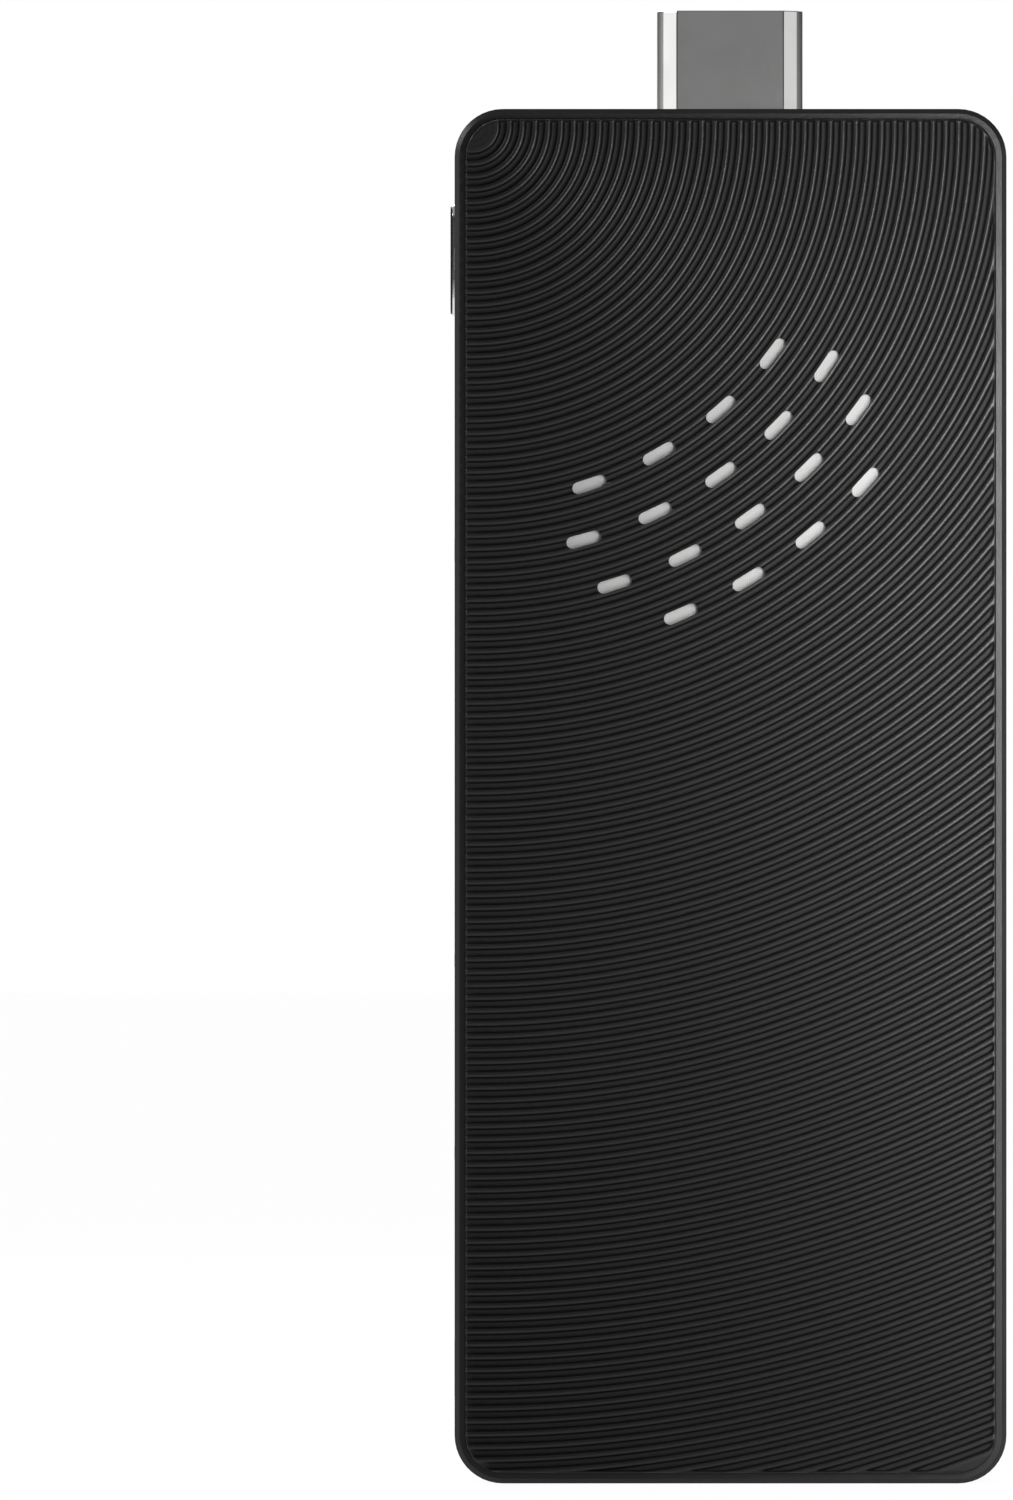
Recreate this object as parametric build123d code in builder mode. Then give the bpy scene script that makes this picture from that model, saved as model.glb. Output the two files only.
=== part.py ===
from build123d import *
import os
from math import cos, degrees, hypot, radians, sin

# A computer in the shape of a stick. It stands on its plain end with its plug up.
# X runs across it, with the ports on the +X side. Y runs through its thickness, with the
# swelling ribbed cover towards -Y and the flat ribbed cover towards +Y. Z runs up, and the
# origin is at the middle of the bottom end.

# Casing frame
body_width = 52.6
body_height = 131.0
frame_depth = 11.55
corner_radius = 4.6
frame_wall = 1.8
edge_chamfer = 0.45
fit_gap = 0.05
overrun = 1.0

# Flat ribbed cover
panel_stand = 1.1
panel_rim = 1.0
panel_seat_depth = 0.8
panel_groove_depth = 0.4
panel_far_border = 0.2
panel_end_border = 0.12

# Swelling ribbed cover
cover_stand_port = 1.7
cover_stand_far = 0.6
swell_height = 2.1
swell_middle_z = 34.0
swell_run = 15.5
cover_skin = 1.3
cover_rim = 0.95
cover_far_rim = 0.0
cover_edge_radius = 0.2
cover_groove_depth = 0.5
parting_gap = 0.33
lip_rim = 1.4
lip_seat_depth = 1.2
lip_wall = 1.1

# Ribs and vents that both covers share
rib_inset = 1.7
rib_pitch = 1.22
groove_width = 0.84
rib_flat_radius = 2.5
rib_flat_corner = 2.4
vent_length = 3.4
vent_width = 1.15
vent_first_radius = 35.9
vent_ring_step = 4.876
vent_spacing = 7.26
vent_counts = [4, 5, 5, 4]
vent_skin = 0.8
screen_radius = 18.0
screen_thickness = 0.3
vent_angle = 54.5

# Snap hooks under both covers
hook_width = 4.0
hook_thickness = 0.9
hook_gap = 0.1
hook_barb = 0.4
hook_barb_height = 0.7
hook_reach = 2.4
hook_pocket_depth = 0.5
hook_pocket_gap = 0.2
hook_heights = [21.0, 66.0, 100.0]

# Board and its screws
board_thickness = 1.2
board_y = 0.275
board_gap = 0.5
lug_size = 6.0
lug_depth = 2.7
screw_radius = 1.0
screw_head_radius = 1.9
screw_head_height = 0.8
screw_length = 3.2
screw_end_play = 0.1
screw_socket_radius = 0.7
screw_socket_depth = 0.4
screw_play = 0.1

# HDMI plug
hdmi_width = 13.9
hdmi_flat_width = 10.8
hdmi_thickness = 4.45
hdmi_side = 2.65
hdmi_corner = 0.5
hdmi_wall = 0.4
hdmi_reach = 9.5
hdmi_root = 10.0
hdmi_y = 1.33
hdmi_gap = 0.15
hdmi_mouth_recess = 0.5
hdmi_slot_width = 11.4
hdmi_slot_depth = 8.0
hdmi_contact_count = 10
hdmi_contact_pitch = 1.0
hdmi_contact_width = 0.45
hdmi_contact_thickness = 0.2
hdmi_contact_tail = 1.8

# USB-A sockets
usb_heights = [49.9, 31.5]
usb_y = 0.375
usb_width = 13.3
usb_thickness = 5.45
usb_wall = 0.36
usb_corner = 0.7
usb_length = 14.5
usb_recess = 0.15
usb_gap = 0.15
usb_back = 4.6
usb_tongue_width = 11.1
usb_tongue_thickness = 1.65
usb_tongue_clearance = 0.65
usb_tongue_recess = 1.4
usb_pin_places = [-3.5, -1.0, 1.0, 3.5]
usb_pin_width = 1.1
usb_pin_length = 6.0
usb_fast_pin_pitch = 2.0
usb_fast_pin_count = 5
usb_fast_pin_width = 0.7
usb_fast_pin_length = 1.2
usb_pin_thickness = 0.15
usb_pin_step = 0.5

# USB-C socket
usbc_z = 11.9
usbc_width = 9.4
usbc_thickness = 3.5
usbc_wall = 0.45
usbc_length = 7.6
usbc_recess = 0.1
usbc_gap = 0.15
usbc_back = 1.6
usbc_tongue_width = 6.7
usbc_tongue_thickness = 0.7
usbc_tongue_recess = 0.9
usbc_pin_count = 12
usbc_pin_pitch = 0.5
usbc_pin_width = 0.28
usbc_pin_length = 3.2
usbc_pin_thickness = 0.06

# Micro card slot
card_z = 84.8
card_y = -1.03
card_width = 12.1
card_thickness = 1.65
card_wall = 0.2
card_depth = 14.8
card_recess = 0.2
card_gap = 0.12
card_catch_width = 2.0
card_back_wall = 0.3
card_pin_count = 8
card_pin_pitch = 1.1
card_pin_width = 0.7
card_pin_length = 6.0
card_pin_thickness = 0.15
card_pin_inset = 1.2
card_slider_width = 1.6
card_slider_length = 4.0
card_slider_play = 0.05
card_spring_length = 2.3
card_spring_radius = 0.5
card_spring_bore = 0.32
card_spring_gap = 0.05

# Power button and its switch
button_z = 116.7
button_y = 1.57
button_length = 10.7
button_width = 3.6
button_proud = 0.4
button_round = 0.3
button_gap = 0.12
button_flange = 0.8
button_flange_thickness = 0.8
button_flange_gap = 0.1
button_travel = 0.3
button_nub_radius = 0.8
button_nub_gap = 0.03
notch_depth = 2.2
notch_length = 14.4
switch_width = 6.0
switch_depth = 4.0
switch_height = 2.1
switch_setback = 0.9
plunger_width = 2.4
plunger_height = 1.0
plunger_reach = 1.0
plunger_root = 0.9
plunger_play = 0.05

# Fan
fan_shift = 4.0
fan_radius = 13.8
fan_wall = 0.8
fan_base = 0.4
fan_height = 3.9
fan_inlet_radius = 10.4
fan_lid = 0.35
fan_window_radius = 8.2
fan_window_hub = 4.4
fan_spoke_width = 1.6
fan_spoke_count = 3
fan_ear_radius = 1.9
fan_ear_reach = 1.4
fan_ear_height = 1.0
fan_ear_turns = [30, 150, 270]
fan_outlet_width = 9.0
fan_exit_width = 3.0
fan_exit_length = 4.0
axle_radius = 0.6
axle_clearance = 0.04
axle_length = 3.0
boss_radius = 1.5
boss_height = 0.5
rotor_hub_radius = 5.0
rotor_hub_wall = 0.6
rotor_tip_radius = 12.2
rotor_blade_count = 13
rotor_blade_thickness = 0.5
rotor_blade_sweep = 24.0
rotor_gap = 0.35
rotor_depth = 2.1
rotor_post_radius = 1.3
lead_width = 2.6
lead_thickness = 0.5
lead_run = 3.0
fan_socket_width = 4.2
fan_socket_length = 2.6
fan_socket_height = 1.4

# Heat sink, processor and chips
sink_width = 30.0
sink_length = 50.0
sink_plate = 0.8
sink_fin_height = 2.3
sink_fin_width = 0.6
sink_fin_pitch = 2.1
sink_fin_count = 14
sink_drop = 9.5
sink_post_radius = 1.5
sink_post_inset = 2.0
sink_screw_length = 2.4
processor_size = 16.0
processor_height = 1.1
processor_drop = 24.0
pad_thickness = 0.3
pad_margin = 1.0
memory_width = 9.0
memory_length = 13.0
memory_height = 1.0
memory_places = [(-12.0, 47.5), (2.0, 47.5)]
storage_width = 12.0
storage_length = 13.0
storage_height = 0.9
storage_place = (-5.0, 27.0)
power_chip_size = 6.0
power_chip_height = 0.9
power_chip_place = (-3.0, 33.5)
inductor_size = 4.0
inductor_height = 2.2
inductor_round = 0.6
inductor_column_x = 5.5
inductor_rows = [24.0, 30.0, 36.0]
capacitor_length = 1.6
capacitor_width = 0.8
capacitor_height = 0.8
capacitor_pitch_x = 3.4
capacitor_pitch_z = 2.8
capacitor_columns = 5
capacitor_rows = 4
capacitor_place = (-2.0, 59.0)
crystal_length = 3.2
crystal_width = 2.5
crystal_height = 0.8
crystal_place = (-15.0, 48.0)

# Radio and clock battery
radio_width = 11.0
radio_length = 12.0
radio_height = 1.7
radio_wall = 0.3
radio_place = (-13.5, 118.0)
antenna_length = 24.0
antenna_height = 2.8
antenna_thickness = 0.5
antenna_top_z = 96.2
antenna_lift = 0.4
antenna_foot = 1.0
lead_diameter = 0.8
lead_turn_drop = 6.0
cell_radius = 10.0
cell_height = 3.2
cell_place = (-9.0, 17.0)
cell_holder_size = 21.6
cell_holder_base = 0.6
cell_holder_wall = 0.7
cell_holder_lip = 2.0
cell_play = 0.1

# Places worked out from the sizes above
port_x = body_width / 2
middle_z = body_height / 2
total_depth = swell_height + cover_stand_port + frame_depth + panel_stand
cover_side_y = swell_height + cover_stand_port - total_depth / 2
panel_side_y = cover_side_y + frame_depth
panel_seat_y = panel_side_y - panel_seat_depth
panel_face_y = panel_side_y + panel_stand
lip_seat_y = cover_side_y + lip_seat_depth
cover_wall_y = cover_side_y - parting_gap
cover_port_x = port_x - cover_rim
cover_width = body_width - cover_rim - cover_far_rim
cover_middle_x = (cover_far_rim - cover_rim) / 2
cover_slope = (cover_stand_port - cover_stand_far) / cover_width
board_back_y = board_y + board_thickness
board_port_x = port_x - frame_wall - board_gap
inner_x = port_x - frame_wall
rib_x = port_x - rib_inset
rib_z = body_height - rib_inset
vent_radii = [vent_first_radius + ring * vent_ring_step for ring in range(len(vent_counts))]
vent_middle_radius = sum(vent_radii) / len(vent_radii)
vent_x = rib_x - vent_middle_radius * cos(radians(vent_angle))
vent_z = rib_z - vent_middle_radius * sin(radians(vent_angle))
fan_x = vent_x - fan_shift
fan_z = vent_z
sink_z = fan_z - sink_drop
post_places = [
    (fan_x + across * (sink_width / 2 - sink_post_inset),
     sink_z + along * (sink_length / 2 - sink_post_inset))
    for across in (-1, 1)
    for along in (-1, 1)
]
screwed_posts = [post_places[0], post_places[-1]]
lug_places = [
    (side * (inner_x - lug_size / 2), height)
    for side in (-1, 1)
    for height in (frame_wall + lug_size / 2, body_height - frame_wall - lug_size / 2)
]


def at_y(level):
    """A plane across the thickness: its own axes are X and Z, and it faces -Y."""
    return Plane.XZ.offset(-level)


def at_x(level):
    """A plane parallel to the port side: its own axes are Y and Z, and it faces +X."""
    return Plane.YZ.offset(level)


def at_z(level):
    """A level plane: its own axes are X and Y, and it faces up."""
    return Plane.XY.offset(level)


def casing_outline(inset, mode=Mode.ADD):
    """The rounded outline of the casing, drawn in by the inset."""
    with Locations((0, middle_z)):
        RectangleRounded(
            body_width - 2 * inset, body_height - 2 * inset, corner_radius - inset, mode=mode
        )


def cover_outline(inset, mode=Mode.ADD):
    """The outline of the swelling cover, which reaches the casing's edge on the far side."""
    with Locations((cover_middle_x, middle_z)):
        RectangleRounded(
            cover_width - 2 * inset,
            body_height - 2 * cover_rim - 2 * inset,
            corner_radius - cover_rim - inset,
            mode=mode,
        )


def ring_sketch(width, height, middle_x, level):
    """The grooves as rings about the corner by the plug, cut off by a rectangle."""
    corner_reach = hypot(rib_x + port_x - panel_rim, rib_z - panel_rim)
    count = int((corner_reach - rib_flat_corner - groove_width - rib_flat_radius) / rib_pitch) + 1
    rings = []
    for number in range(count):
        inner_radius = rib_flat_radius + number * rib_pitch
        with BuildSketch(mode=Mode.PRIVATE) as ring:
            with Locations((rib_x, rib_z)):
                Circle(inner_radius + groove_width)
                Circle(inner_radius, mode=Mode.SUBTRACT)
        rings.append(ring.sketch)
    with BuildSketch(at_y(level), mode=Mode.PRIVATE) as clipped:
        add(rings)
        with Locations((middle_x, middle_z)):
            Rectangle(width, height, mode=Mode.INTERSECT)
    return clipped.sketch


def vent_slots():
    """Rounded slots on four rings about the ribs' centre, each lying along its ring."""
    for radius, count in zip(vent_radii, vent_counts):
        step = degrees(vent_spacing / radius)
        for number in range(count):
            turn = vent_angle + (number - (count - 1) / 2) * step
            slot_x = rib_x - radius * cos(radians(turn))
            slot_z = rib_z - radius * sin(radians(turn))
            with Locations((slot_x, slot_z)):
                SlotOverall(vent_length, vent_width, rotation=turn - 90)


def hdmi_outline(grow, mode=Mode.ADD):
    """The plug's section: full width with square sides, then two slopes to a narrower face."""
    half = hdmi_width / 2 + grow
    narrow = hdmi_flat_width / 2 + grow
    low = hdmi_y - hdmi_thickness / 2 - grow
    high = hdmi_y + hdmi_thickness / 2 + grow
    shoulder = low + hdmi_side + 2 * grow
    with BuildSketch(mode=Mode.PRIVATE) as section:
        with BuildLine():
            Polyline(
                (-half, low), (half, low), (half, shoulder), (narrow, high),
                (-narrow, high), (-half, shoulder), close=True,
            )
        make_face()
        fillet(section.vertices(), radius=hdmi_corner + grow)
    add(section.sketch, mode=mode)


def hook_places(side):
    """The middles of the hooks along one long side, as X and Z."""
    middle_x = side * (inner_x - hook_gap - hook_thickness / 2)
    return [(middle_x, height) for height in hook_heights]


def finish(piece, name):
    """Labels a piece and writes it."""
    piece.part.label = name
    export_step(piece.part, f"parts/{name}.step")


os.makedirs("parts", exist_ok=True)

# The middle frame, a ring with seats for both covers
with BuildPart() as mid_frame:
    with BuildSketch(at_y(panel_side_y)):
        casing_outline(0)
    extrude(amount=frame_depth)
    outer_faces = mid_frame.faces().filter_by(Axis.Y)
    chamfer(outer_faces.edges(), length=edge_chamfer)
    with BuildSketch(at_y(panel_side_y)):
        casing_outline(frame_wall)
    extrude(amount=frame_depth, mode=Mode.SUBTRACT)
    with BuildSketch(at_y(panel_side_y)):
        casing_outline(panel_rim)
    extrude(amount=panel_seat_depth, mode=Mode.SUBTRACT)
    with BuildSketch(at_y(lip_seat_y)):
        casing_outline(lip_rim)
    extrude(amount=lip_seat_depth, mode=Mode.SUBTRACT)
    with BuildSketch(at_y(board_back_y + lug_depth)):
        for lug_x, lug_z in lug_places:
            with Locations((lug_x, lug_z)):
                Rectangle(lug_size + 2 * fit_gap, lug_size + 2 * fit_gap)
        casing_outline(frame_wall - overrun / 2, mode=Mode.INTERSECT)
    extrude(amount=lug_depth)
    with Locations(at_y(board_back_y + lug_depth)):
        with Locations(*lug_places):
            Cylinder(
                screw_radius,
                lug_depth,
                align=(Align.CENTER, Align.CENTER, Align.MIN),
                mode=Mode.SUBTRACT,
            )
    # Pockets in the wall for the barbs of both covers' hooks
    for pocket_y in (lip_seat_y + hook_reach, panel_seat_y - hook_reach + hook_barb_height):
        with BuildSketch(at_y(pocket_y + hook_pocket_gap)):
            for side in (-1, 1):
                for height in hook_heights:
                    with Locations((side * inner_x, height)):
                        Rectangle(2 * hook_pocket_depth, hook_width + 2 * hook_pocket_gap)
        extrude(amount=hook_barb_height + 2 * hook_pocket_gap, mode=Mode.SUBTRACT)
    # Openings in the port side
    with BuildSketch(at_x(port_x)):
        for usb_z in usb_heights:
            with Locations((usb_y, usb_z)):
                RectangleRounded(
                    usb_thickness + 2 * usb_gap, usb_width + 2 * usb_gap, usb_corner + usb_gap
                )
        with Locations((board_y - usbc_thickness / 2, usbc_z)):
            SlotOverall(usbc_width + 2 * usbc_gap, usbc_thickness + 2 * usbc_gap, rotation=90)
        with Locations((card_y, card_z)):
            Rectangle(card_thickness + 2 * card_gap, card_width + 2 * card_gap)
        with Locations((button_y, button_z)):
            SlotOverall(button_length + 2 * button_gap, button_width + 2 * button_gap, rotation=90)
    extrude(amount=-frame_wall, mode=Mode.SUBTRACT)
    # The plug's opening in the top end
    with BuildSketch(at_z(body_height - frame_wall)):
        hdmi_outline(hdmi_gap)
    extrude(amount=frame_wall, mode=Mode.SUBTRACT)
finish(mid_frame, "mid_frame")



# The flat ribbed cover, a plate set into the frame, with its grooves, vents and hooks
panel_width = body_width - 2 * panel_rim - 2 * fit_gap
panel_height = body_height - 2 * panel_rim - 2 * fit_gap
panel_grooves = ring_sketch(
    panel_width - panel_far_border + overrun,
    panel_height - 2 * panel_end_border,
    (panel_far_border + overrun) / 2,
    panel_face_y,
)
with BuildPart() as bottom_cover:
    with BuildSketch(at_y(panel_face_y)):
        casing_outline(panel_rim + fit_gap)
    extrude(amount=panel_face_y - panel_seat_y)
    with BuildSketch(at_y(panel_seat_y)):
        for side in (-1, 1):
            with Locations(*hook_places(side)):
                Rectangle(hook_thickness, hook_width)
    extrude(amount=hook_reach)
    with BuildSketch(at_y(panel_seat_y - hook_reach + hook_barb_height)):
        for side in (-1, 1):
            for height in hook_heights:
                with Locations((side * (inner_x - hook_gap / 2 + hook_barb / 2), height)):
                    Rectangle(hook_barb + hook_gap, hook_width)
    extrude(amount=hook_barb_height)
    extrude(panel_grooves, amount=panel_groove_depth, mode=Mode.SUBTRACT)
    with BuildSketch(at_y(panel_face_y)):
        vent_slots()
    extrude(amount=panel_face_y - panel_seat_y, mode=Mode.SUBTRACT)
    # The cover is thinner over the vents, and a fine dust screen is glued in there
    with BuildSketch(at_y(panel_face_y - vent_skin)):
        with Locations((vent_x, vent_z)):
            Circle(screen_radius)
    extrude(amount=panel_face_y - vent_skin - panel_seat_y, mode=Mode.SUBTRACT)
finish(bottom_cover, "bottom_cover")

with BuildPart() as vent_screen:
    with BuildSketch(at_y(panel_face_y - vent_skin)):
        with Locations((vent_x, vent_z)):
            Circle(screen_radius)
    extrude(amount=screen_thickness)
finish(vent_screen, "vent_screen")


def cover_block(depth):
    """All that lies deeper than the given depth under the swelling cover's outer surface."""
    flat_y = cover_side_y - cover_stand_port + depth
    high_y = flat_y - swell_height
    middle_y = (flat_y + high_y) / 2
    deep_y = panel_side_y
    low_z = -overrun
    top_z = body_height + overrun
    swell_top_z = swell_middle_z + swell_run / 2
    swell_low_z = swell_middle_z - swell_run / 2
    with BuildPart(mode=Mode.PRIVATE) as block:
        with BuildSketch(at_x(cover_port_x)):
            with BuildLine():
                Line((flat_y, top_z), (flat_y, swell_top_z))
                TangentArc((flat_y, swell_top_z), (middle_y, swell_middle_z), tangent=(0, -1))
                TangentArc((high_y, swell_low_z), (middle_y, swell_middle_z), tangent=(0, 1))
                Polyline(
                    (high_y, swell_low_z), (high_y, low_z), (deep_y, low_z), (deep_y, top_z),
                    (flat_y, top_z),
                )
            make_face()
        extrude(amount=2 * body_width, dir=(-1, cover_slope, 0), both=True)
    return block.part


cover_top_y = cover_side_y - cover_stand_port - swell_height - overrun
with BuildPart(mode=Mode.PRIVATE) as cover_cavity:
    with BuildSketch(at_y(lip_seat_y)):
        casing_outline(lip_rim + fit_gap + lip_wall)
    extrude(amount=lip_seat_y - cover_top_y)
    add(cover_block(cover_skin), mode=Mode.INTERSECT)

with BuildPart(mode=Mode.PRIVATE) as cover_core:
    with BuildSketch(at_y(lip_seat_y)):
        cover_outline(cover_groove_depth)
    extrude(amount=lip_seat_y - cover_top_y)
    add(cover_block(cover_groove_depth), mode=Mode.INTERSECT)

cover_rings = ring_sketch(cover_width + overrun, body_height, cover_middle_x, cover_wall_y)
with BuildPart(mode=Mode.PRIVATE) as cover_grooves:
    extrude(cover_rings, amount=cover_wall_y - cover_top_y)
    add(cover_core.part, mode=Mode.SUBTRACT)

# The swelling ribbed cover, a shell with a lip that sits inside the frame
with BuildPart() as top_cover:
    with BuildSketch(at_y(cover_wall_y)):
        cover_outline(0)
    extrude(amount=cover_wall_y - cover_top_y)
    add(cover_block(0), mode=Mode.INTERSECT)
    upright = top_cover.faces().filter_by(lambda face: abs(face.normal_at().Y) < 0.5).edges()
    outward = top_cover.faces().filter_by(lambda face: face.normal_at().Y < -0.5).edges()
    fillet([edge for edge in outward if edge in upright], radius=cover_edge_radius)
    with BuildSketch(at_y(lip_seat_y)):
        casing_outline(lip_rim + fit_gap)
    extrude(amount=lip_seat_y - cover_wall_y)
    add(cover_cavity.part, mode=Mode.SUBTRACT)
    # The hooks start inside the lip's wall and reach past the frame's ledge
    with BuildSketch(at_y(lip_seat_y + hook_reach)):
        for side in (-1, 1):
            with Locations(*hook_places(side)):
                Rectangle(hook_thickness, hook_width)
    extrude(amount=hook_reach + lip_seat_depth / 2)
    with BuildSketch(at_y(lip_seat_y + hook_reach)):
        for side in (-1, 1):
            for height in hook_heights:
                with Locations((side * (inner_x - hook_gap / 2 + hook_barb / 2), height)):
                    Rectangle(hook_barb + hook_gap, hook_width)
    extrude(amount=hook_barb_height)
    add(cover_grooves.part, mode=Mode.SUBTRACT)
    with BuildSketch(at_y(lip_seat_y)):
        vent_slots()
    extrude(amount=lip_seat_y - cover_top_y, mode=Mode.SUBTRACT)
finish(top_cover, "top_cover")

# The board, with a corner hole at each lug and cut-outs round what is sunk into it
hdmi_low_z = body_height - hdmi_root
with BuildPart() as main_board:
    with BuildSketch(at_y(board_back_y)):
        casing_outline(frame_wall + board_gap)
        for usb_z in usb_heights:
            with Locations((port_x, usb_z)):
                Rectangle(2 * (usb_length + usb_recess + usb_gap), usb_width + 2 * usb_gap,
                          mode=Mode.SUBTRACT)
        with Locations((0, body_height)):
            Rectangle(hdmi_width + 2 * hdmi_gap, 2 * hdmi_root, mode=Mode.SUBTRACT)
        with Locations((board_port_x, button_z)):
            Rectangle(2 * notch_depth, notch_length, mode=Mode.SUBTRACT)
        with Locations(*lug_places, *screwed_posts):
            Circle(screw_radius + screw_play, mode=Mode.SUBTRACT)
        with Locations((fan_x, fan_z)):
            Circle(fan_window_radius, mode=Mode.SUBTRACT)
    extrude(amount=board_thickness)
finish(main_board, "main_board")


def screw_group(places, length, name):
    """Screws with flat heads on the board's face towards the swelling cover."""
    with BuildPart() as screws:
        with BuildSketch(at_y(board_y)):
            with Locations(*places):
                Circle(screw_head_radius)
        extrude(amount=screw_head_height)
        with BuildSketch(at_y(board_y + length)):
            with Locations(*places):
                Circle(screw_radius - fit_gap)
        extrude(amount=length)
        with BuildSketch(at_y(board_y - screw_head_height + screw_socket_depth)):
            with Locations(*places):
                RegularPolygon(screw_socket_radius, 6)
        extrude(amount=screw_socket_depth, mode=Mode.SUBTRACT)
    finish(screws, name)


screw_group(lug_places, screw_length, "board_screws")

# The HDMI plug: a folded shell, the plastic inside it and two rows of contacts
with BuildPart() as hdmi_shell:
    with BuildSketch(at_z(hdmi_low_z)):
        hdmi_outline(0)
        hdmi_outline(-hdmi_wall, mode=Mode.SUBTRACT)
    extrude(amount=hdmi_root + hdmi_reach)
finish(hdmi_shell, "hdmi_shell")

with BuildPart() as hdmi_contacts:
    with BuildSketch(at_z(hdmi_low_z - hdmi_contact_tail)):
        for row_y, row_count in (
            (board_y - hdmi_contact_thickness / 2, hdmi_contact_count),
            (board_back_y + hdmi_contact_thickness / 2, hdmi_contact_count - 1),
        ):
            for number in range(row_count):
                with Locations(((number - (row_count - 1) / 2) * hdmi_contact_pitch, row_y)):
                    Rectangle(hdmi_contact_width, hdmi_contact_thickness)
    extrude(amount=hdmi_contact_tail + hdmi_root + hdmi_reach - hdmi_mouth_recess - hdmi_wall)
finish(hdmi_contacts, "hdmi_contacts")

with BuildPart() as hdmi_insulator:
    with BuildSketch(at_z(hdmi_low_z)):
        hdmi_outline(-hdmi_wall)
    extrude(amount=hdmi_root + hdmi_reach - hdmi_mouth_recess)
    with BuildSketch(at_z(body_height + hdmi_reach - hdmi_mouth_recess)):
        with Locations((0, board_y + board_thickness / 2)):
            Rectangle(hdmi_slot_width, board_thickness)
    extrude(amount=-hdmi_slot_depth, mode=Mode.SUBTRACT)
    add(hdmi_contacts.part, mode=Mode.SUBTRACT)
finish(hdmi_insulator, "hdmi_insulator")


def usb_socket(number, middle):
    """One socket: a folded shell, a plastic tongue with its back block, and the contacts."""
    mouth_x = port_x - usb_recess
    back_x = mouth_x - usb_length
    tongue_high_y = usb_y + usb_thickness / 2 - usb_wall - usb_tongue_clearance
    tongue_low_y = tongue_high_y - usb_tongue_thickness
    tip_x = mouth_x - usb_tongue_recess
    fast_x = tip_x - usb_pin_step - usb_fast_pin_length / 2
    pin_x = fast_x - usb_fast_pin_length / 2 - usb_pin_step - usb_pin_length / 2
    with BuildPart() as shell:
        with BuildSketch(at_x(back_x)):
            with Locations((usb_y, middle)):
                RectangleRounded(usb_thickness, usb_width, usb_corner)
                RectangleRounded(
                    usb_thickness - 2 * usb_wall, usb_width - 2 * usb_wall,
                    usb_corner - usb_wall, mode=Mode.SUBTRACT,
                )
        extrude(amount=usb_length)
    finish(shell, f"usb_shell_{number}")
    with BuildPart() as contacts:
        with BuildSketch(at_y(tongue_low_y)):
            for place in usb_pin_places:
                with Locations((pin_x, middle + place)):
                    Rectangle(usb_pin_length, usb_pin_width)
            for fast in range(usb_fast_pin_count):
                place = (fast - (usb_fast_pin_count - 1) / 2) * usb_fast_pin_pitch
                with Locations((fast_x, middle + place)):
                    Rectangle(usb_fast_pin_length, usb_fast_pin_width)
        extrude(amount=usb_pin_thickness)
    finish(contacts, f"usb_contacts_{number}")
    with BuildPart() as tongue:
        with BuildSketch(at_x(back_x)):
            with Locations((usb_y, middle)):
                RectangleRounded(
                    usb_thickness - 2 * usb_wall, usb_width - 2 * usb_wall, usb_corner - usb_wall
                )
        extrude(amount=usb_back)
        with BuildSketch(at_x(back_x)):
            with Locations(((tongue_low_y + tongue_high_y) / 2, middle)):
                Rectangle(usb_tongue_thickness, usb_tongue_width)
        extrude(amount=tip_x - back_x)
    finish(tongue, f"usb_tongue_{number}")


for usb_number, usb_z in enumerate(usb_heights, start=1):
    usb_socket(usb_number, usb_z)

# The USB-C socket, seated on the board's face towards the swelling cover
usbc_y = board_y - usbc_thickness / 2
usbc_mouth_x = port_x - usbc_recess
usbc_back_x = usbc_mouth_x - usbc_length
with BuildPart() as usb_c_shell:
    with BuildSketch(at_x(usbc_back_x)):
        with Locations((usbc_y, usbc_z)):
            SlotOverall(usbc_width, usbc_thickness, rotation=90)
            SlotOverall(usbc_width - 2 * usbc_wall, usbc_thickness - 2 * usbc_wall, rotation=90,
                        mode=Mode.SUBTRACT)
    extrude(amount=usbc_length)
finish(usb_c_shell, "usb_c_shell")

with BuildPart() as usb_c_contacts:
    with BuildSketch(at_x(usbc_mouth_x - usbc_tongue_recess - 2 * usbc_wall)):
        for side in (-1, 1):
            pin_y = usbc_y + side * (usbc_tongue_thickness + usbc_pin_thickness) / 2
            for number in range(usbc_pin_count):
                place = (number - (usbc_pin_count - 1) / 2) * usbc_pin_pitch
                with Locations((pin_y, usbc_z + place)):
                    Rectangle(usbc_pin_thickness, usbc_pin_width)
    extrude(amount=-usbc_pin_length)
finish(usb_c_contacts, "usb_c_contacts")

with BuildPart() as usb_c_tongue:
    with BuildSketch(at_x(usbc_back_x)):
        with Locations((usbc_y, usbc_z)):
            SlotOverall(usbc_width - 2 * usbc_wall, usbc_thickness - 2 * usbc_wall, rotation=90)
    extrude(amount=usbc_back)
    with BuildSketch(at_x(usbc_back_x)):
        with Locations((usbc_y, usbc_z)):
            Rectangle(usbc_tongue_thickness, usbc_tongue_width)
    extrude(amount=usbc_length - usbc_tongue_recess)
finish(usb_c_tongue, "usb_c_tongue")

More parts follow.
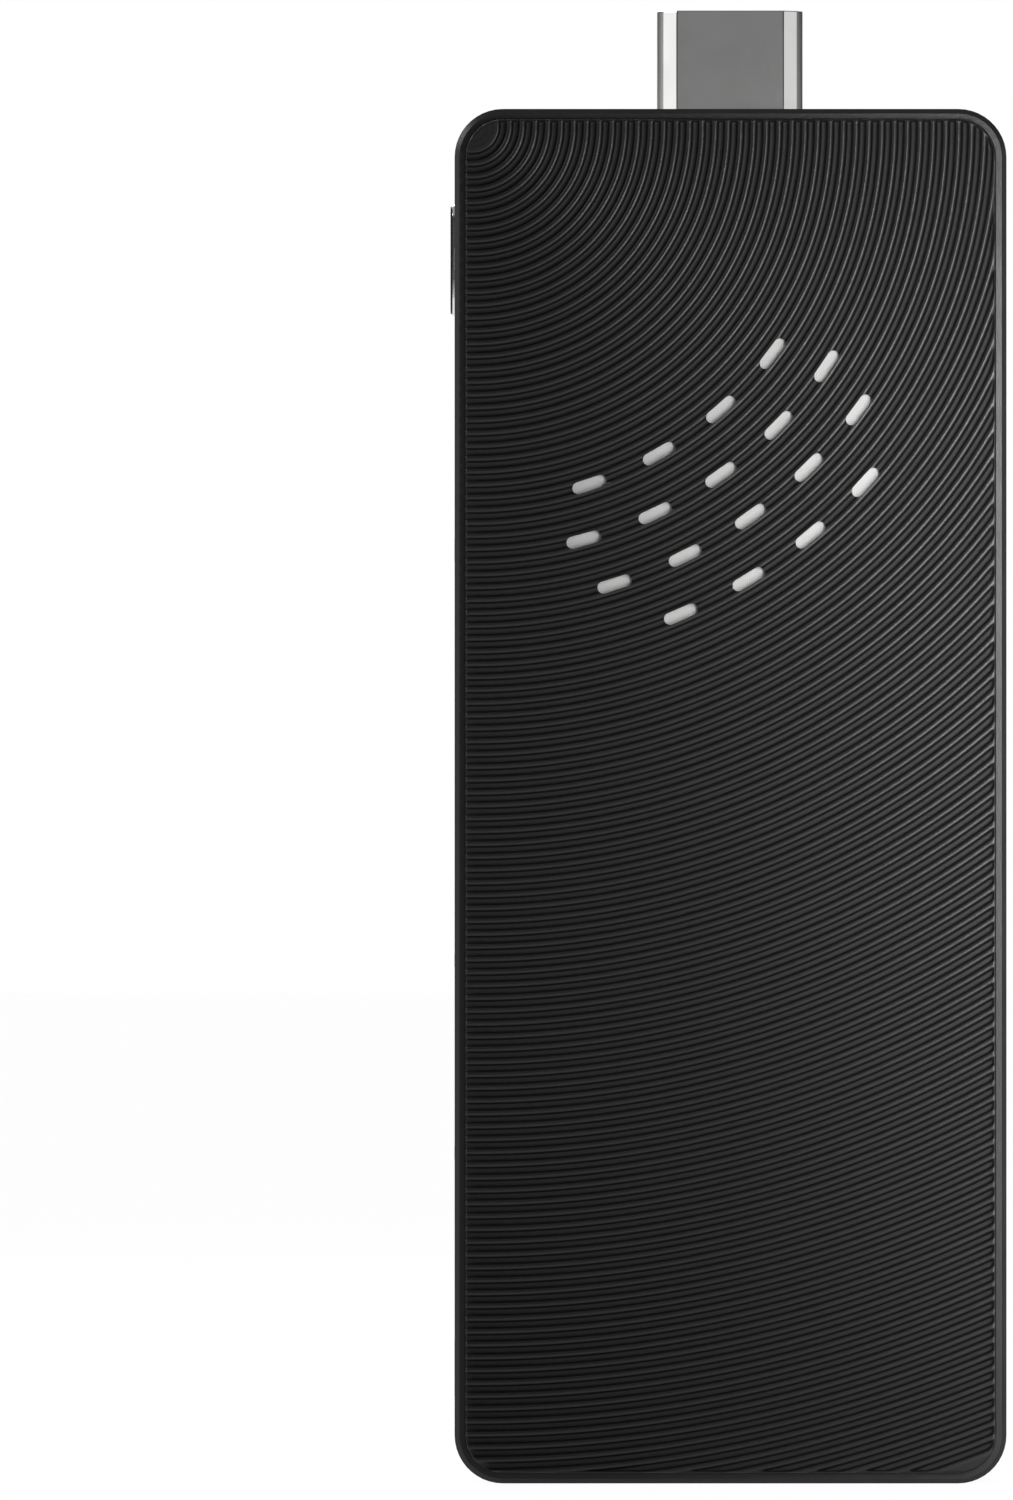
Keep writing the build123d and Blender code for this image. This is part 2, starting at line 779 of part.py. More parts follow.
# The micro card slot: a cage on a plastic base, wider behind the wall for its catch
card_mouth_x = port_x - card_recess
card_front_x = inner_x - card_wall
card_back_x = inner_x - card_depth
card_low_z = card_z - card_width / 2
card_face_y = card_y + card_thickness / 2
with BuildPart() as card_cage:
    with BuildSketch(at_x(card_back_x)):
        with Locations((card_y, card_z - card_catch_width / 2)):
            Rectangle(card_thickness, card_width + card_catch_width)
    extrude(amount=card_front_x - card_back_x)
    with BuildSketch(at_x(card_back_x)):
        with Locations((card_y, card_z)):
            Rectangle(card_thickness, card_width)
    extrude(amount=card_mouth_x - card_back_x)
    with BuildSketch(at_x(card_back_x + card_back_wall)):
        with Locations((card_y, card_z - card_catch_width / 2)):
            Rectangle(card_thickness - 2 * card_wall, card_width + card_catch_width - 2 * card_wall)
    extrude(amount=card_front_x - card_wall - card_back_x - card_back_wall, mode=Mode.SUBTRACT)
    with BuildSketch(at_x(card_mouth_x)):
        with Locations((card_y, card_z)):
            Rectangle(card_thickness - 2 * card_wall, card_width - 2 * card_wall)
    extrude(amount=card_front_x - card_depth / 2 - card_mouth_x, mode=Mode.SUBTRACT)
finish(card_cage, "card_cage")

with BuildPart() as card_base:
    with BuildSketch(at_y(board_y)):
        with Locations(((card_back_x + board_port_x) / 2, card_z - card_catch_width / 2)):
            Rectangle(board_port_x - card_back_x, card_width + card_catch_width)
    extrude(amount=board_y - card_face_y)
finish(card_base, "card_base")

with BuildPart() as card_contacts:
    with BuildSketch(at_y(card_face_y - card_wall)):
        for number in range(card_pin_count):
            place = (number - (card_pin_count - 1) / 2) * card_pin_pitch
            pin_x = card_back_x + card_back_wall + card_pin_inset + card_pin_length / 2
            with Locations((pin_x, card_z + place)):
                Rectangle(card_pin_length, card_pin_width)
    extrude(amount=card_pin_thickness)
finish(card_contacts, "card_contacts")

# The catch that slides in as a card is pressed, with its spring behind it
slider_z = card_low_z - card_catch_width + card_wall + card_slider_play + card_slider_width / 2
spring_x = card_back_x + card_back_wall + card_spring_gap
slider_x = spring_x + card_spring_length + card_spring_gap
with BuildPart() as card_slider:
    with BuildSketch(at_x(slider_x)):
        with Locations((card_y, slider_z)):
            Rectangle(card_thickness - 2 * card_wall - 2 * card_slider_play, card_slider_width)
    extrude(amount=card_slider_length)
    slider_edges = card_slider.faces().sort_by(Axis.X)[-1].edges()
    chamfer(slider_edges, length=card_slider_play * 3)
finish(card_slider, "card_slider")

with BuildPart() as card_spring:
    with BuildSketch(at_x(spring_x)):
        with Locations((card_y, slider_z)):
            Circle(card_spring_radius)
            Circle(card_spring_bore, mode=Mode.SUBTRACT)
    extrude(amount=card_spring_length)
finish(card_spring, "card_spring")

# The power button, held behind the wall by its flange, and the switch that it presses
flange_x = inner_x - button_flange_gap
nub_x = flange_x - button_flange_thickness
switch_x = board_port_x - notch_depth - switch_setback
plunger_tip_x = switch_x + plunger_reach
with BuildPart() as power_button:
    with BuildSketch(at_x(flange_x)):
        with Locations((button_y, button_z)):
            SlotOverall(button_length, button_width, rotation=90)
    extrude(amount=port_x + button_proud - flange_x)
    fillet(power_button.faces().sort_by(Axis.X)[-1].edges(), radius=button_round)
    with BuildSketch(at_x(flange_x)):
        with Locations((button_y, button_z)):
            SlotOverall(
                button_length + 2 * button_flange, button_width + 2 * button_flange, rotation=90
            )
    extrude(amount=-button_flange_thickness)
    with BuildSketch(at_x(nub_x)):
        with Locations((board_back_y + switch_height / 2, button_z)):
            Circle(button_nub_radius)
    extrude(amount=plunger_tip_x + button_nub_gap - nub_x)
finish(power_button, "power_button")

with BuildPart() as switch_plunger:
    with BuildSketch(at_x(plunger_tip_x)):
        with Locations((board_back_y + switch_height / 2, button_z)):
            Rectangle(plunger_height, plunger_width)
    extrude(amount=-plunger_reach - plunger_root)
finish(switch_plunger, "switch_plunger")

with BuildPart() as switch_body:
    with BuildSketch(at_x(switch_x)):
        with Locations((board_back_y + switch_height / 2, button_z)):
            Rectangle(switch_height, switch_width)
    extrude(amount=-switch_depth)
    with BuildSketch(at_x(switch_x)):
        with Locations((board_back_y + switch_height / 2, button_z)):
            Rectangle(plunger_height + 2 * plunger_play, plunger_width + 2 * plunger_play)
    extrude(amount=-plunger_root - button_travel - 2 * plunger_play, mode=Mode.SUBTRACT)
finish(switch_body, "switch_body")

# The fan: a housing on the board, a fixed axle and a bladed rotor on it
fan_place = (fan_x, fan_z)
axle_low_y = board_y - fan_base - boss_height
ear_places = [
    (fan_x + (fan_radius + fan_ear_reach) * cos(radians(turn)),
     fan_z + (fan_radius + fan_ear_reach) * sin(radians(turn)))
    for turn in fan_ear_turns
]
exit_x = fan_x + fan_radius / 2
exit_z = fan_z + fan_radius
with BuildPart() as fan_housing:
    with BuildSketch(at_y(board_y)):
        with Locations(fan_place):
            Circle(fan_radius)
    extrude(amount=fan_height)
    with BuildSketch(at_y(board_y)):
        with Locations(*ear_places):
            Circle(fan_ear_radius)
        with Locations((exit_x, exit_z - fan_exit_length / 2)):
            Rectangle(fan_exit_width, fan_exit_length)
    extrude(amount=fan_ear_height)
    with BuildSketch(at_y(board_y - fan_base)):
        with Locations(fan_place):
            Circle(fan_radius - fan_wall)
    extrude(amount=fan_height - fan_base - fan_lid, mode=Mode.SUBTRACT)
    with BuildSketch(at_y(board_y - fan_base)):
        with Locations(fan_place):
            Circle(fan_inlet_radius)
    extrude(amount=fan_height, mode=Mode.SUBTRACT)
    # The air window in the base, crossed by spokes that carry the hub
    with BuildSketch(at_y(board_y)):
        with Locations(fan_place):
            Circle(fan_window_radius)
            Circle(fan_window_hub, mode=Mode.SUBTRACT)
            for spoke in range(fan_spoke_count):
                turn = spoke * 360 / fan_spoke_count
                Rectangle(fan_window_radius + overrun, fan_spoke_width, rotation=turn,
                          align=(Align.MIN, Align.CENTER), mode=Mode.SUBTRACT)
    extrude(amount=fan_base, mode=Mode.SUBTRACT)
    with BuildSketch(at_y(board_y)):
        with Locations((fan_x - fan_radius, fan_z)):
            Rectangle(2 * fan_wall, fan_outlet_width)
    extrude(amount=fan_height - fan_lid, mode=Mode.SUBTRACT)
    with BuildSketch(at_y(board_y)):
        with Locations(fan_place):
            Circle(boss_radius)
    extrude(amount=fan_base + boss_height)
    with BuildSketch(at_y(board_y)):
        with Locations(fan_place):
            Circle(axle_radius)
    extrude(amount=fan_base + boss_height, mode=Mode.SUBTRACT)
finish(fan_housing, "fan_housing")

with BuildPart() as fan_axle:
    with BuildSketch(at_y(board_y)):
        with Locations(fan_place):
            Circle(axle_radius)
    extrude(amount=axle_length)
finish(fan_axle, "fan_axle")



def blade_edge(turn, side):
    """Three points along one edge of a thin blade that leans back towards its tip."""
    root_radius = rotor_hub_radius - rotor_hub_wall / 2
    middle_radius = (root_radius + rotor_tip_radius) / 2
    points = []
    for reach, lean in (
        (root_radius, 0),
        (middle_radius, rotor_blade_sweep / 3),
        (rotor_tip_radius, rotor_blade_sweep),
    ):
        half_angle = degrees(rotor_blade_thickness / 2 / reach)
        angle = radians(turn + lean + side * half_angle)
        points.append((fan_x + reach * cos(angle), fan_z + reach * sin(angle)))
    return points


rotor_low_y = axle_low_y - rotor_gap
with BuildPart() as fan_rotor:
    with BuildSketch(at_y(rotor_low_y)):
        with Locations(fan_place):
            Circle(rotor_hub_radius)
    extrude(amount=rotor_depth)
    with BuildSketch(at_y(rotor_low_y)):
        with Locations(fan_place):
            Circle(rotor_hub_radius - rotor_hub_wall)
            Circle(rotor_post_radius, mode=Mode.SUBTRACT)
    extrude(amount=rotor_depth - rotor_hub_wall, mode=Mode.SUBTRACT)
    with BuildSketch(at_y(rotor_low_y)):
        for blade in range(rotor_blade_count):
            turn = blade * 360 / rotor_blade_count
            front = blade_edge(turn, 1)
            back = blade_edge(turn, -1)
            with BuildLine():
                ThreePointArc(*front)
                Line(front[-1], back[-1])
                ThreePointArc(*back)
                Line(back[0], front[0])
            make_face()
    extrude(amount=rotor_depth)
    with BuildSketch(at_y(rotor_low_y)):
        with Locations(fan_place):
            Circle(axle_radius + axle_clearance)
    extrude(amount=rotor_depth, mode=Mode.SUBTRACT)
finish(fan_rotor, "fan_rotor")

with BuildPart() as fan_lead:
    with BuildSketch(at_y(board_y)):
        with Locations((exit_x, exit_z + lead_run / 2)):
            Rectangle(lead_width, lead_run)
    extrude(amount=lead_thickness)
finish(fan_lead, "fan_lead")

with BuildPart() as fan_socket:
    with BuildSketch(at_y(board_y)):
        with Locations((exit_x, exit_z + lead_run + fan_socket_length / 2)):
            Rectangle(fan_socket_width, fan_socket_length)
    extrude(amount=fan_socket_height)
    chamfer(fan_socket.faces().sort_by(Axis.Y)[0].edges(), length=fan_socket_height / 5)
finish(fan_socket, "fan_socket")


def board_pieces(places, width, length, height, name, back, rounding=0):
    """Flat packages on one face of the board, as a group of separate solids."""
    base_y = board_back_y + height if back else board_y
    with BuildPart() as pieces:
        with BuildSketch(at_y(base_y)):
            with Locations(*places):
                Rectangle(width, length)
        extrude(amount=height)
        if rounding:
            fillet(pieces.edges().filter_by(Axis.Y), radius=rounding)
    finish(pieces, name)


# The processor and the finned plate that draws its heat, behind the flat cover's vents
processor_place = (fan_x, fan_z - processor_drop)
board_pieces([processor_place], processor_size, processor_size, processor_height, "processor", True)

processor_top_y = board_back_y + processor_height
sink_low_y = processor_top_y + pad_thickness
with BuildPart() as thermal_pad:
    with BuildSketch(at_y(sink_low_y)):
        with Locations(processor_place):
            Rectangle(processor_size - 2 * pad_margin, processor_size - 2 * pad_margin)
    extrude(amount=pad_thickness)
finish(thermal_pad, "thermal_pad")

with BuildPart() as heat_sink:
    with BuildSketch(at_y(sink_low_y + sink_plate)):
        with Locations((fan_x, sink_z)):
            Rectangle(sink_width, sink_length)
    extrude(amount=sink_plate)
    with BuildSketch(at_y(sink_low_y + sink_plate + sink_fin_height)):
        for fin in range(sink_fin_count):
            place = (fin - (sink_fin_count - 1) / 2) * sink_fin_pitch
            with Locations((fan_x + place, sink_z)):
                Rectangle(sink_fin_width, sink_length)
    extrude(amount=sink_fin_height)
    with BuildSketch(at_y(sink_low_y)):
        with Locations(*post_places):
            Circle(sink_post_radius)
    extrude(amount=sink_low_y - board_back_y)
    tapped_depth = sink_screw_length - board_thickness + screw_end_play
    with BuildSketch(at_y(board_back_y + tapped_depth)):
        with Locations(*screwed_posts):
            Circle(screw_radius)
    extrude(amount=tapped_depth, mode=Mode.SUBTRACT)
finish(heat_sink, "heat_sink")

board_pieces(memory_places, memory_width, memory_length, memory_height, "memory_chips", True)
board_pieces([storage_place], storage_width, storage_length, storage_height, "storage_chip", True)
board_pieces(
    [power_chip_place], power_chip_size, power_chip_size, power_chip_height, "power_chip", False
)
board_pieces(
    [(inductor_column_x, row_z) for row_z in inductor_rows],
    inductor_size, inductor_size, inductor_height, "inductors", False, inductor_round,
)
board_pieces(
    [
        (capacitor_place[0] + (column - (capacitor_columns - 1) / 2) * capacitor_pitch_x,
         capacitor_place[1] + (row - (capacitor_rows - 1) / 2) * capacitor_pitch_z)
        for column in range(capacitor_columns)
        for row in range(capacitor_rows)
    ],
    capacitor_length, capacitor_width, capacitor_height, "capacitors", False,
)
board_pieces([crystal_place], crystal_length, crystal_width, crystal_height, "crystal", False)

# The radio under its can, and the strip antenna on the far wall with its thin lead
radio_x, radio_z = radio_place
with BuildPart() as radio_shield:
    with BuildSketch(at_y(board_y)):
        with Locations(radio_place):
            Rectangle(radio_width, radio_length)
    extrude(amount=radio_height)
    with BuildSketch(at_y(board_y)):
        with Locations(radio_place):
            Rectangle(radio_width - 2 * radio_wall, radio_length - 2 * radio_wall)
    extrude(amount=radio_height - radio_wall, mode=Mode.SUBTRACT)
finish(radio_shield, "radio_shield")

antenna_x = -inner_x + antenna_thickness / 2
foot_x = -inner_x + antenna_thickness + antenna_foot / 2
with BuildPart() as antenna:
    with BuildSketch(at_y(board_y - antenna_lift)):
        with Locations((antenna_x, antenna_top_z - antenna_length / 2)):
            Rectangle(antenna_thickness, antenna_length)
    extrude(amount=antenna_height)
    with BuildSketch(at_y(board_y - fit_gap)):
        with Locations((foot_x, antenna_top_z - antenna_foot)):
            Rectangle(antenna_foot, 2 * antenna_foot)
    extrude(amount=antenna_foot)
finish(antenna, "antenna")

lead_y = board_y - lead_diameter / 2
lead_start_x = radio_x - radio_width / 2 + 2 * lead_diameter
lead_low_z = radio_z - radio_length / 2
lead_turn_z = lead_low_z - lead_turn_drop
with BuildPart() as antenna_lead:
    with BuildLine(at_y(lead_y)):
        FilletPolyline(
            (lead_start_x, lead_low_z), (lead_start_x, lead_turn_z), (foot_x, lead_turn_z),
            (foot_x, antenna_top_z),
            radius=lead_turn_drop * 0.45,
        )
    with BuildSketch(Plane(origin=(lead_start_x, lead_y, lead_low_z), z_dir=(0, 0, -1))):
        Circle(lead_diameter / 2)
    sweep()
finish(antenna_lead, "antenna_lead")

# The clock battery in its holder, in the swollen end
with BuildPart() as cell_holder:
    with BuildSketch(at_y(board_y)):
        with Locations(cell_place):
            RectangleRounded(cell_holder_size, cell_holder_size, cell_holder_wall * 2)
    extrude(amount=cell_holder_base + cell_holder_lip)
    with BuildSketch(at_y(board_y - cell_holder_base)):
        with Locations(cell_place):
            Circle(cell_radius + cell_play)
    extrude(amount=cell_holder_lip, mode=Mode.SUBTRACT)
finish(cell_holder, "cell_holder")

with BuildPart() as coin_cell:
    with BuildSketch(at_y(board_y - cell_holder_base)):
        with Locations(cell_place):
            Circle(cell_radius)
    extrude(amount=cell_height)
    fillet(coin_cell.faces().sort_by(Axis.Y)[0].edges(), radius=cell_play * 3)
finish(coin_cell, "coin_cell")

# The screws that clamp the finned plate come through the board into two of its posts
screw_group(screwed_posts, sink_screw_length, "heat_sink_screws")
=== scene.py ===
# %% [markdown]
# # A computer in the shape of a stick, dressed in Blender
#
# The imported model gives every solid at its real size, standing on its plain end with the plug
# up. This lesson adds what the solids lack: two covers with fine circular ribs, polished metal at
# the sockets, printed marks, and a finish for every surface.

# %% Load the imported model
import math

import bmesh
import bpy
import numpy as np
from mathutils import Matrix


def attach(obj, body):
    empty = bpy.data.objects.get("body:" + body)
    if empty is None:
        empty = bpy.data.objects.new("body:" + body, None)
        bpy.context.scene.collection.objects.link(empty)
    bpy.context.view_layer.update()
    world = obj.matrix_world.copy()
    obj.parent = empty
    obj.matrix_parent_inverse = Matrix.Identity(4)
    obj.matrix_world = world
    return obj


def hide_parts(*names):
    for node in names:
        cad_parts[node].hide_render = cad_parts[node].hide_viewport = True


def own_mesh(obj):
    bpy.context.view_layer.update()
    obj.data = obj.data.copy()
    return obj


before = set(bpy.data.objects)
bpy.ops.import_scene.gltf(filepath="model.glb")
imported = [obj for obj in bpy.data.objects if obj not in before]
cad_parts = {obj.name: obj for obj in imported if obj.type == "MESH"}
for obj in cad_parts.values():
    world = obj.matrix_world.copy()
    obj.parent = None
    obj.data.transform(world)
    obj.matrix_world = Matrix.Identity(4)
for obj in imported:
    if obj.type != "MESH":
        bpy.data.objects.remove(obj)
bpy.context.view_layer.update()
MM = 0.001


def new_object(name, data):
    """An object of this name and data, linked to the scene."""
    made = bpy.data.objects.new(name, data)
    bpy.context.scene.collection.objects.link(made)
    return made


# %% [markdown]
# ## The camera
#
# A long lens from far away keeps upright edges parallel, as catalogue pictures have them. It
# stands level on the side of the flat ribbed cover. The casing fills the right half of the
# picture and reaches nearly to its top and bottom.

# %% Camera
LENS, CAMERA_PLACE = 500.0, (0.02135, 1.9922, 0.0699)
camera_data = bpy.data.cameras.new("camera")
camera_data.lens = LENS
camera_data.clip_start, camera_data.clip_end = 0.1, 20.0
camera = new_object("camera", camera_data)
camera.location = CAMERA_PLACE
camera.rotation_euler = (math.pi / 2, 0.0, math.pi)
bpy.context.scene.camera = camera
bpy.context.scene.view_settings.view_transform = "Standard"
print("camera", tuple(round(v, 3) for v in camera.location))

# %% [markdown]
# ## Shader sums as Python
#
# A procedural finish is a sum of patterns. Wrapping a socket in a small class lets such a sum be
# written as one line of Python, and each operator adds the Math node that it stands for.


# %% Sockets that can be added and multiplied
class Signal:
    """One output socket. Sums, products and powers of signals add Math nodes to its tree."""

    def __init__(self, finish, socket):
        self.finish, self.socket = finish, socket

    def maths(self, operation, first, second=None):
        node = self.finish.tree.nodes.new("ShaderNodeMath")
        node.operation = operation
        for socket, value in zip(node.inputs, (first, second)):
            if value is not None:
                self.finish.feed(socket, value)
        return Signal(self.finish, node.outputs[0])

    def __add__(self, other):
        return self.maths("ADD", self, other)

    def __sub__(self, other):
        return self.maths("SUBTRACT", self, other)

    def __rsub__(self, other):
        return self.maths("SUBTRACT", other, self)

    def __mul__(self, other):
        return self.maths("MULTIPLY", self, other)

    def __truediv__(self, other):
        return self.maths("DIVIDE", self, other)

    def __pow__(self, other):
        return self.maths("POWER", self, other)

    __radd__, __rmul__ = __add__, __mul__

    def fraction(self):
        return self.maths("FRACT", self)

    def absolute(self):
        return self.maths("ABSOLUTE", self)

    def step(self, low, high):
        """0 below low, 1 above high and a smooth rise between them."""
        node = self.finish.node(
            "MapRange",
            {"interpolation_type": "SMOOTHSTEP"},
            {"Value": self, "From Min": low, "From Max": high},
        )
        return Signal(self.finish, node.outputs[0])


class Finish:
    """A material being made: its tree, its shader, and one method that adds any node."""

    def __init__(self, name, constants):
        self.material = bpy.data.materials.new(name)
        self.material.use_nodes = True
        self.tree = self.material.node_tree
        self.shader = self.tree.nodes["Principled BSDF"]
        for socket, value in constants.items():
            self.shader.inputs[socket].default_value = value
        self.place = Signal(self, self.node("TexCoord").outputs["Object"])

    def feed(self, socket, value):
        """Links a signal to a socket, or sets a plain value on it."""
        if isinstance(value, Signal):
            self.tree.links.new(value.socket, socket)
        else:
            socket.default_value = value

    def node(self, kind, settings=None, inputs=None):
        """Adds a node, with its settings first and then the values or links of its sockets."""
        made = self.tree.nodes.new("ShaderNode" + kind)
        for name, value in (settings or {}).items():
            setattr(made, name, value)
        for name, value in (inputs or {}).items():
            self.feed(made.inputs[name], value)
        return made

    def noise(self, scale, detail=2.0, stretch=(1.0, 1.0, 1.0)):
        """Noise from 0 to 1, in cells of about 1 / scale metres, drawn out along an axis."""
        turned = self.node("Mapping", {}, {"Vector": self.place, "Scale": stretch})
        place = Signal(self, turned.outputs[0])
        made = self.node("TexNoise", {}, {"Vector": place, "Scale": scale, "Detail": detail})
        return Signal(self, made.outputs[0])

    def axes(self):
        """The place on the object as three signals, in metres."""
        made = self.node("SeparateXYZ", {}, {0: self.place})
        return [Signal(self, socket) for socket in made.outputs]

    def mix(self, mask, low, high):
        """The low colour where the mask is 0 and the high colour where it is 1."""
        made = self.node("Mix", {"data_type": "RGBA"})
        self.feed(made.inputs[0], mask)
        for socket, value in ((made.inputs[6], low), (made.inputs[7], high)):
            self.feed(socket, value if isinstance(value, Signal) else (*value, 1.0))
        return Signal(self, made.outputs[2])

    def relief(self, height, depth):
        """Bends the light as if the surface rose by depth metres where the height is 1."""
        made = self.node("Bump", {}, {"Height": height, "Distance": depth, "Strength": 1.0})
        self.feed(self.shader.inputs["Normal"], Signal(self, made.outputs[0]))

    def set(self, name, value):
        self.feed(self.shader.inputs[name], value)

    def colour(self, mask, low, high):
        self.set("Base Color", self.mix(mask, low, high))


# %% [markdown]
# ## Moulded plastic
#
# A matt moulding isn't one flat black. Its skin has a fine grain, its gloss wanders slightly,
# and dust greys it by a shade. All three are noise on the object's own coordinates, so they stay
# put when a part moves.


# %% Plastic finishes
def plastic(name, colour, lift, rough, grain=7000.0, depth=0.000012, constants=None):
    """Plastic whose colour drifts from colour to lift, with gloss noise and a fine grain."""
    made = Finish(name, {"IOR": 1.5, **(constants or {})})
    drift = made.noise(160.0, 3.0)
    skin = made.noise(grain)
    made.colour(drift.step(0.35, 0.7), colour, lift)
    made.set("Roughness", rough + 0.1 * (made.noise(420.0, 3.0) - 0.5) + 0.08 * (skin - 0.5))
    made.relief(skin, depth)
    return made.material


frame_black = plastic(
    "frame black", (0.0095, 0.0095, 0.0098), (0.0125, 0.0125, 0.0128), 0.38,
    constants={"Specular IOR Level": 0.3},
)
button_black = plastic(
    "button black", (0.011, 0.011, 0.0113), (0.014, 0.014, 0.0143), 0.4,
    constants={"Specular IOR Level": 0.25},
)
socket_black = plastic("socket black", (0.008, 0.008, 0.009), (0.014, 0.014, 0.015), 0.4)
rotor_black = plastic("rotor black", (0.012, 0.012, 0.013), (0.022, 0.022, 0.024), 0.35)
chip_black = plastic("chip resin", (0.013, 0.013, 0.014), (0.024, 0.024, 0.025), 0.55, 9000.0)
coil_grey = plastic("coil resin", (0.05, 0.05, 0.052), (0.075, 0.075, 0.078), 0.6, 5000.0)
lead_black = plastic("lead rubber", (0.012, 0.012, 0.012), (0.02, 0.02, 0.021), 0.6)
pad_grey = plastic("heat pad rubber", (0.22, 0.24, 0.27), (0.3, 0.32, 0.35), 0.75, 4000.0)
switch_white = plastic("switch white", (0.72, 0.71, 0.68), (0.8, 0.79, 0.76), 0.45)
ceramic_tan = plastic("capacitor ceramic", (0.36, 0.23, 0.13), (0.46, 0.31, 0.19), 0.5)
tongue_blue = plastic("tongue blue", (0.012, 0.2, 0.78), (0.022, 0.27, 0.93), 0.38, 5200.0)
mark_white = plastic("printed white", (0.8, 0.8, 0.8), (0.9, 0.9, 0.9), 0.5, 9000.0, 0.000004)

# %% [markdown]
# ## Metals
#
# Drawn or rolled metal keeps hair-fine lines along the way that it was worked. Noise drawn out
# along one axis gives them, for the roughness and a very low bump. A wider noise adds clouds.


# %% Metal finishes
def metal(name, colour, shade, rough, stretch=(1.0, 1.0, 0.04)):
    """Metal with brushed lines along the axis of least stretch, and cloudy gloss."""
    made = Finish(name, {"Metallic": 1.0})
    lines = made.noise(9000.0, 3.0, stretch)
    cloud = made.noise(240.0, 3.0)
    made.colour(cloud.step(0.3, 0.75), colour, shade)
    made.set("Roughness", rough + 0.12 * (lines - 0.5) + 0.08 * (cloud - 0.5))
    made.relief(lines, 0.000002)
    return made.material


plug_nickel = metal("plug nickel", (0.9, 0.895, 0.89), (0.82, 0.815, 0.81), 0.12)
socket_chrome = metal("socket chrome", (0.9, 0.9, 0.91), (0.84, 0.84, 0.85), 0.1, (0.05, 1.0, 1.0))
LONG_Z, LONG_X = (1.0, 1.0, 0.05), (0.06, 1.0, 1.0)
cage_steel = metal("card cage steel", (0.66, 0.66, 0.65), (0.56, 0.56, 0.56), 0.3, LONG_Z)
screw_steel = metal("screw steel", (0.5, 0.5, 0.5), (0.38, 0.38, 0.39), 0.33, (1.0, 1.0, 1.0))
shield_steel = metal("shield steel", (0.6, 0.6, 0.6), (0.52, 0.52, 0.53), 0.36, LONG_Z)
cell_steel = metal("cell steel", (0.68, 0.68, 0.69), (0.6, 0.6, 0.61), 0.22, (0.1, 1.0, 1.0))
sink_alloy = metal("sink alloy", (0.78, 0.79, 0.8), (0.7, 0.71, 0.72), 0.38)
gold = metal("contact gold", (0.93, 0.66, 0.22), (0.86, 0.57, 0.16), 0.22, LONG_X)
spring_gold = metal("spring gold", (1.0, 0.76, 0.13), (0.95, 0.7, 0.11), 0.24, LONG_X)
pale_gold = metal("pale contact gold", (0.74, 0.66, 0.44), (0.66, 0.58, 0.38), 0.28, LONG_X)
edge_alloy = metal("cut edge alloy", (0.93, 0.93, 0.93), (0.86, 0.86, 0.86), 0.1, (1.0, 1.0, 0.1))

# %% [markdown]
# ## The board's laminate
#
# A circuit board is green lacquer over copper. A brick texture gives the faint lighter pattern
# of long copper runs without drawing any one board.

# %% Board finish
board_finish = Finish("board laminate", {"Coat Weight": 0.3, "Coat Roughness": 0.2})
board_track = board_finish.node(
    "TexBrick",
    {"offset": 0.5},
    {"Vector": board_finish.place, "Scale": 420.0, "Mortar Size": 0.012},
)
track_mask = Signal(board_finish, board_track.outputs["Fac"])
board_finish.colour(track_mask, (0.006, 0.05, 0.022), (0.014, 0.1, 0.042))
board_finish.set("Roughness", 0.34 + 0.15 * board_finish.noise(900.0, 3.0))
board_finish.relief(track_mask, 0.00002)
board_green = board_finish.material

# %% [markdown]
# ## Dust screen cloth
#
# Under the flat cover's slots lies a pale woven screen. Two wave patterns at right angles, one
# strand every fifth of a millimetre, make the weave, and it lifts the surface where the strands
# cross over.

# %% Woven screen finish
STRAND = 0.2 * MM
screen_finish = Finish("dust screen cloth", {"Sheen Weight": 0.15})
across, _, upward = screen_finish.axes()
strand_x = ((across / STRAND).fraction() - 0.5).absolute() * 2
strand_z = ((upward / STRAND).fraction() - 0.5).absolute() * 2
weave = (1 - strand_x * strand_x) * 0.5 + (1 - strand_z * strand_z) * 0.5
screen_cloud = screen_finish.noise(300.0)
screen_finish.colour(weave.step(0.15, 0.6), (0.33, 0.33, 0.33), (0.52, 0.52, 0.515))
screen_finish.set("Roughness", 0.7 + 0.2 * screen_cloud)
screen_finish.relief(weave, 0.000015)
screen_cloth = screen_finish.material

# %% [markdown]
# ## The ribs' finish
#
# Both covers share rings about one corner. On the tops of the ribs the etched skin is slightly
# polished. Down in the grooves it stays dull, and its colour holds painted shade: dark on the
# floor and darkest on the walls, so the tops look lighter. The distance from the rings' centre,
# counted in pitches, says which is which.

# %% Rib measures and the finish that follows them
BODY_W, BODY_H, RIB_INSET = 52.6, 131.0, 1.7
RIB_X, RIB_Z = BODY_W / 2 - RIB_INSET, BODY_H - RIB_INSET
PITCH, FLAT_RADIUS, GROOVE = 1.2225, 2.5, 0.84
FIRST_MIDDLE, LAST_RADIUS = FLAT_RADIUS + GROOVE / 2, 135.45


